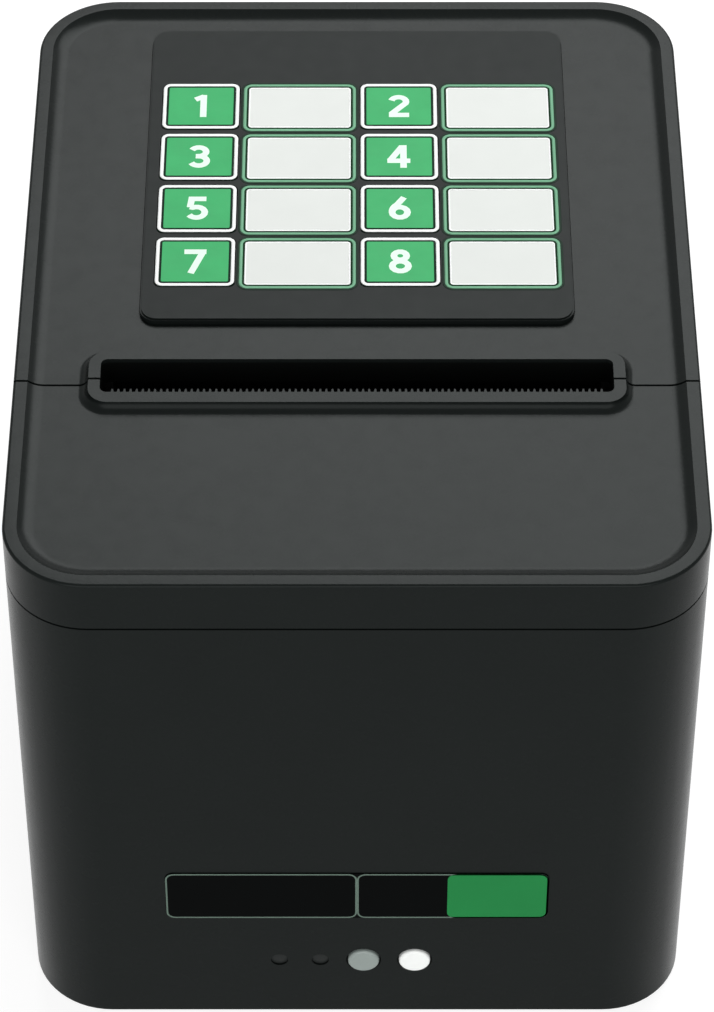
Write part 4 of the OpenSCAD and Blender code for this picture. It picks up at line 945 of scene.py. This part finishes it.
class PRINTER_OT_paper(bpy.types.Operator):
    """Winds the paper roll in layers on its card core"""

    bl_idname = "printer.paper"
    bl_label = "Paper roll"

    def execute(self, context):
        low, high = [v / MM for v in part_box("paper_roll")]
        middle = middle_of("paper_roll")
        outer, reach = (high.z - low.z) / 2, (high.x - low.x) / 2
        core_low, core_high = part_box("paper_core")
        bore = (core_high.z - core_low.z) / 2 / MM
        turn = Matrix.Translation(middle) @ Matrix.Rotation(math.pi / 2, 4, "Y")
        rng = random.Random(settings().inside.seed)
        end = []
        radius = bore
        groove, edge, last = 0.04, 0.3, 0.4
        while radius < outer - last:
            step = rng.uniform(0.5, 1.6)
            height = reach - rng.uniform(0.02, 0.16)
            end += [(radius, height), (min(radius + step, outer - edge), height)]
            radius += step + groove
        end.append((outer, reach - edge))
        profile = end + [(r, -h) for r, h in reversed(end)]
        windings = lathe(
            "paper_windings", profile + profile[:1], 120, turn, "ticket_roll", "paper", degrees=40,
        )
        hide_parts("paper_roll")
        wall, bevel = 1.2, 0.25
        hole = bore - wall
        tube = [
            (hole, reach - 2 * bevel), (hole + bevel, reach),
            (bore - bevel, reach), (bore, reach - bevel),
        ]
        tube += [(r, -h) for r, h in reversed(tube)]
        core = lathe(
            "core_tube", tube + tube[:1], 72, turn, "ticket_roll", "core_card", degrees=50,
        )
        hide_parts("paper_core")
        return {"FINISHED"}


def part_rows(name, first, size, counts, pitch, body, material, corner=0.1, turn=None):
    """Rows of small flat parts with round corners.

    Measures are in mm, and the first place is the middle of a part's lower side.
    """
    rows = grow(name, field_tree(), {
        "First": Vector(first) * MM, "Columns": counts[0], "Rows": counts[1],
        "Column Pitch": pitch[0] * MM, "Row Pitch": pitch[1] * MM, "Ink": size[2] * MM,
        "Width": size[0] * MM, "Length": size[1] * MM, "Corner": corner * MM,
    }, body, material)
    if turn:
        rows.data.transform(turn)
    return rows


class PRINTER_OT_boards(bpy.types.Operator):
    """Fits the small parts, the pins and the cans of the boards"""

    bl_idname = "printer.boards"
    bl_label = "Board parts"

    def execute(self, context):
        low, high = [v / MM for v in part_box("keypad_board")]
        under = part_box("keypad_mat")[0].z / MM - 1.6
        rear = high.y - 7
        # Each row set: name, first place, size, counts, pitch, material, corner
        first = (low.x + 9, rear - 24)
        for name, spot, size, counts, pitch, material, corner in (
            ("keypad_parts", (first[0], first[1], under - 0.55), (1.3, 0.9, 0.56),
             (8, 3), (8.3, 10), "chip_black", 0.1),
            ("keypad_part_ends_a", (first[0] - 0.85, first[1], under - 0.6), (0.5, 0.9, 0.61),
             (8, 3), (8.3, 10), "solder", 0.1),
            ("keypad_part_ends_b", (first[0] + 0.85, first[1], under - 0.6), (0.5, 0.9, 0.61),
             (8, 3), (8.3, 10), "solder", 0.1),
            ("keypad_pads", (low.x + 3, low.y + 3, under - 0.04), (1.4, 1.4, 0.05),
             (15, 2), (5, 1.9), "gold", 0.6),
            ("keypad_chip", (0, rear, under - 1.3), (9, 7, 1.31),
             (1, 1), (0, 0), "chip_black", 0.3),
            ("keypad_chip_pins", (-3.6, rear - 4, under - 0.7), (0.4, 1.6, 0.71),
             (10, 2), (0.8, 8), "solder", 0.05),
        ):
            part_rows(name, spot, size, counts, pitch, "lid", material, corner)
        low, high = [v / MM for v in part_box("main_board")]
        face = low.z + 1.6
        chip = Vector((low.x + 25, low.y + 13))
        for name, first, counts, pitch, size in (
            ("board_chip_pins_a", (chip.x - 7.6, chip.y - 6.4),
             (2, 17), (15.2, 0.8), (1.4, 0.36, 0.5)),
            ("board_chip_pins_b", (chip.x - 6.4, chip.y - 7.6),
             (17, 2), (0.8, 15.2), (0.36, 1.4, 0.5)),
            ("board_header_pins", (low.x + 45, low.y + 2.6), (8, 1), (2.4, 0), (0.6, 2.4, 0.6)),
            ("board_part_ends_a", (low.x + 12, low.y + 32), (7, 3), (8, 9), (0.5, 0.9, 0.6)),
            ("board_part_ends_b", (low.x + 13.7, low.y + 32), (7, 3), (8, 9), (0.5, 0.9, 0.6)),
        ):
            part_rows(
                name, (*first, face - 0.01), size, counts, pitch,
                "case", "solder", 0.05,
            )
        part_rows(
            "board_parts", (low.x + 12.85, low.y + 32, face - 0.01), (1.3, 0.9, 0.56),
            (7, 3), (8, 9), "case", "chip_black",
        )
        for number, x in enumerate((low.x + 6, low.x + 16)):
            place = Matrix.Translation(Vector((x, low.y + 5, face)) * MM)
            sleeve = [
                (4.0, 0.6), (4.06, 0.8), (4.06, 11.4), (3.7, 11.95),
                (3.3, 12.0), (3.3, 11.9), (3.9, 11.3), (4.0, 0.6),
            ]
            lathe(
                "capacitor_sleeve_%d" % (number + 1), sleeve, 40, place,
                "case", "circuit_board", ["chip_black"], 40,
            )
        return {"FINISHED"}


class PRINTER_OT_sockets(bpy.types.Operator):
    """Lays the gold contacts in the network and USB sockets"""

    bl_idname = "printer.sockets"
    bl_label = "Socket contacts"

    def execute(self, context):
        low, high = [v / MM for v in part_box("network_port")]
        middle = (low.x + high.x) / 2
        part_rows(
            "network_contacts", (middle - 3.57, high.y - 5.5, low.z + 10.7), (0.42, 7, 0.31),
            (8, 1), (1.02, 0), "case", "gold", 0.1,
        )
        low, high = [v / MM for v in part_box("usb_port")]
        middle = (low.x + high.x) / 2
        for name, z in (("usb_contacts_top", low.z + 6.99), ("usb_contacts_under", low.z + 3.88)):
            part_rows(
                name, (middle - 1.25, high.y - 5.6, z), (1.0, 6.4, 0.13),
                (2, 1), (2.5, 0), "case", "gold", 0.2,
            )
        return {"FINISHED"}


class PRINTER_OT_head(bpy.types.Operator):
    """Prints the heater line and seals the drivers on the print head"""

    bl_idname = "printer.head"
    bl_label = "Print head face"

    def execute(self, context):
        low, high = [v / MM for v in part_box("print_head")]
        face = Matrix.Translation(Vector((0, high.y, 0)) * MM)
        upright = face @ Matrix.Rotation(-math.pi / 2, 4, "X")
        for name, z, size, material, corner in (
            ("head_heater_line", high.z - 2.4, (74, 0.5, 0.05), "chip_black", 0.2),
            ("head_glaze", high.z - 2.4, (76, 1.8, 0.03), "ceramic_glaze", 0.6),
            ("head_driver_seal", low.z + 2.2, (70, 2.2, 0.35), "chip_black", 0.9),
        ):
            part_rows(
                name, (0, -z, -0.01), size, (1, 1), (0, 0),
                "head", material, corner, upright,
            )
        return {"FINISHED"}


class PRINTER_OT_motors(bpy.types.Operator):
    """Closes the ends of the two motors with their moulded caps"""

    bl_idname = "printer.motors"
    bl_label = "Motor caps"

    def execute(self, context):
        cap = [
            (0, 0), (2.4, 0), (2.4, -0.5), (5.2, -0.5),
            (5.6, -0.2), (5.6, 0.3), (5.0, 0.6), (0, 0.6),
        ]
        can_shift = 1 * MM
        low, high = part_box("feed_motor")
        spot = (low.x, (low.y + high.y) / 2 + can_shift, (low.z + high.z) / 2)
        place = Matrix.Translation(spot) @ Matrix.Rotation(math.pi / 2, 4, "Y")
        lathe("feed_motor_cap", cap, 40, place, "case", "steel", ["socket_black"], 40)
        low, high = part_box("cutter_motor")
        place = Matrix.Translation(((low.x + high.x) / 2, (low.y + high.y) / 2, low.z))
        lathe("cutter_motor_cap", cap, 40, place, "case", "steel", ["socket_black"], 40)
        return {"FINISHED"}


# ------------------------------------------------------------------ digits


def bow(x, y, r, first, last, squash=1.0, steps=14):
    """Points of an arc, in millimetres."""
    return [
        (x + r * math.cos(math.radians(first + (last - first) * i / steps)),
         y + squash * r * math.sin(math.radians(first + (last - first) * i / steps)))
        for i in range(steps + 1)
    ]


# The digits' strokes, drawn about their middle at this height in mm
DIGIT_HEIGHT = 6.0
DIGITS = {
    1: [[(-1.05, 1.75), (0.5, 2.62)], [(0.42, 3.0), (0.42, -3.0)]],
    2: [bow(0, 1.2, 1.32, 165, -22, 0.93) + [(-1.35, -2.2)], [(-1.75, -2.45), (1.85, -2.45)]],
    3: [bow(-0.1, 1.25, 1.3, 155, -80, 0.9) + [(-0.6, 0.08)],
        [(-0.6, 0.08)] + bow(-0.05, -1.18, 1.42, 75, -155, 0.88)],
    4: [[(0.55, 2.75), (-1.6, -1.05)], [(-2.1, -1.15), (1.95, -1.15)], [(0.75, 3.0), (0.75, -3.0)]],
    5: [[(1.55, 2.45), (-1.0, 2.45), (-1.25, 0.25)],
        [(-1.25, 0.3)] + bow(-0.1, -1.05, 1.45, 118, -150, 0.95)],
    6: [bow(0, -1.05, 1.35, 0, 360, 1.0), bow(1.0, -0.9, 2.35, 180, 128, 1.0) + [(0.75, 2.85)]],
    7: [[(-1.9, 2.45), (1.9, 2.45)], [(1.35, 2.5), (-0.7, -3.0)]],
    8: [bow(0, 1.42, 1.1, 0, 360, 0.95), bow(0, -1.2, 1.4, 0, 360, 0.9)],
}


# How far a corner of a stroke may reach: the least share that its half width is divided by
MITRE_LIMIT = 0.6


def stroke_mesh(strokes, scale, width, depth):
    """A thin raised print made of strokes of one width, joined into one closed shape."""
    points, faces = [], []
    half = width / 2
    for stroke in strokes:
        line = [Vector(p) * MM * scale for p in stroke]
        closed = (line[0] - line[-1]).length < 1e-6
        if closed:
            line.pop()
        steps = [(after - before).normalized() for before, after in zip(line, line[1:] + line[:1])]
        if not closed:
            steps[-1] = steps[-2]
        sides = []
        for i, go_out in enumerate(steps):
            go_in = steps[i - 1] if closed or i else go_out
            mitre = (go_in + go_out).normalized().orthogonal()
            sides.append(mitre * half / max(abs(mitre.dot(go_out.orthogonal())), MITRE_LIMIT))
        count = len(line) if closed else len(line) - 1
        for i in range(count):
            j = (i + 1) % len(line)
            faces.append(list(range(len(points), len(points) + 4)))
            points += [
                line[i] - sides[i], line[j] - sides[j], line[j] + sides[j], line[i] + sides[i],
            ]
    spots, _, cells, _, _, owners = delaunay_2d_cdt(points, [], faces, 1, 1e-7)
    bm = bmesh.new()
    verts = [bm.verts.new((p.x, p.y, 0)) for p in spots]
    for cell, owner in zip(cells, owners):
        if owner:
            bm.faces.new([verts[i] for i in cell])
    bmesh.ops.recalc_face_normals(bm, faces=bm.faces)
    bmesh.ops.dissolve_limit(bm, angle_limit=0.01, verts=bm.verts, edges=bm.edges)
    lower = bm.faces[:]
    raised = bmesh.ops.extrude_face_region(bm, geom=lower)
    moved = [g for g in raised["geom"] if isinstance(g, bmesh.types.BMVert)]
    bmesh.ops.translate(bm, verts=moved, vec=(0, 0, depth))
    bmesh.ops.triangulate(bm, faces=bm.faces)
    bmesh.ops.recalc_face_normals(bm, faces=bm.faces)
    mesh = bpy.data.meshes.new("print")
    bm.to_mesh(mesh)
    bm.free()
    return mesh


# ------------------------------------------------------------------ panel


STEPS = (
    PRINTER_OT_stage,
    PRINTER_OT_inner_parts,
    PRINTER_OT_covers,
    PRINTER_OT_keys,
    PRINTER_OT_labels,
    PRINTER_OT_badge,
    PRINTER_OT_springs,
    PRINTER_OT_paper,
    PRINTER_OT_boards,
    PRINTER_OT_sockets,
    PRINTER_OT_head,
    PRINTER_OT_motors,
)


class PRINTER_PT_panel(bpy.types.Panel):
    """Lists the steps that dress the printer"""

    bl_idname = "PRINTER_PT_panel"
    bl_label = "Ticket printer"
    bl_space_type = "VIEW_3D"
    bl_region_type = "UI"
    bl_category = "Printer"

    def draw(self, context):
        for step in STEPS:
            self.layout.operator(step.bl_idname)
        for group in ("colours", "keypad", "badge", "inside", "stage"):
            box = self.layout.box()
            held = getattr(settings(), group)
            for key in type(held).__annotations__:
                box.prop(held, key)


CLASSES = (
    PrinterColours, KeypadSizes, BadgeSizes, InsideSizes, StageSettings, PrinterSettings,
    *STEPS, PRINTER_PT_panel,
)


def register():
    for item in CLASSES:
        bpy.utils.register_class(item)
    bpy.types.Scene.ticket_printer = PointerProperty(type=PrinterSettings)


def unregister():
    del bpy.types.Scene.ticket_printer
    for item in reversed(CLASSES):
        bpy.utils.unregister_class(item)


def main():
    register()
    for step in STEPS:
        area, name = step.bl_idname.split(".")
        getattr(getattr(bpy.ops, area), name)()
    bpy.context.view_layer.update()


if __name__ == "__main__":
    main()
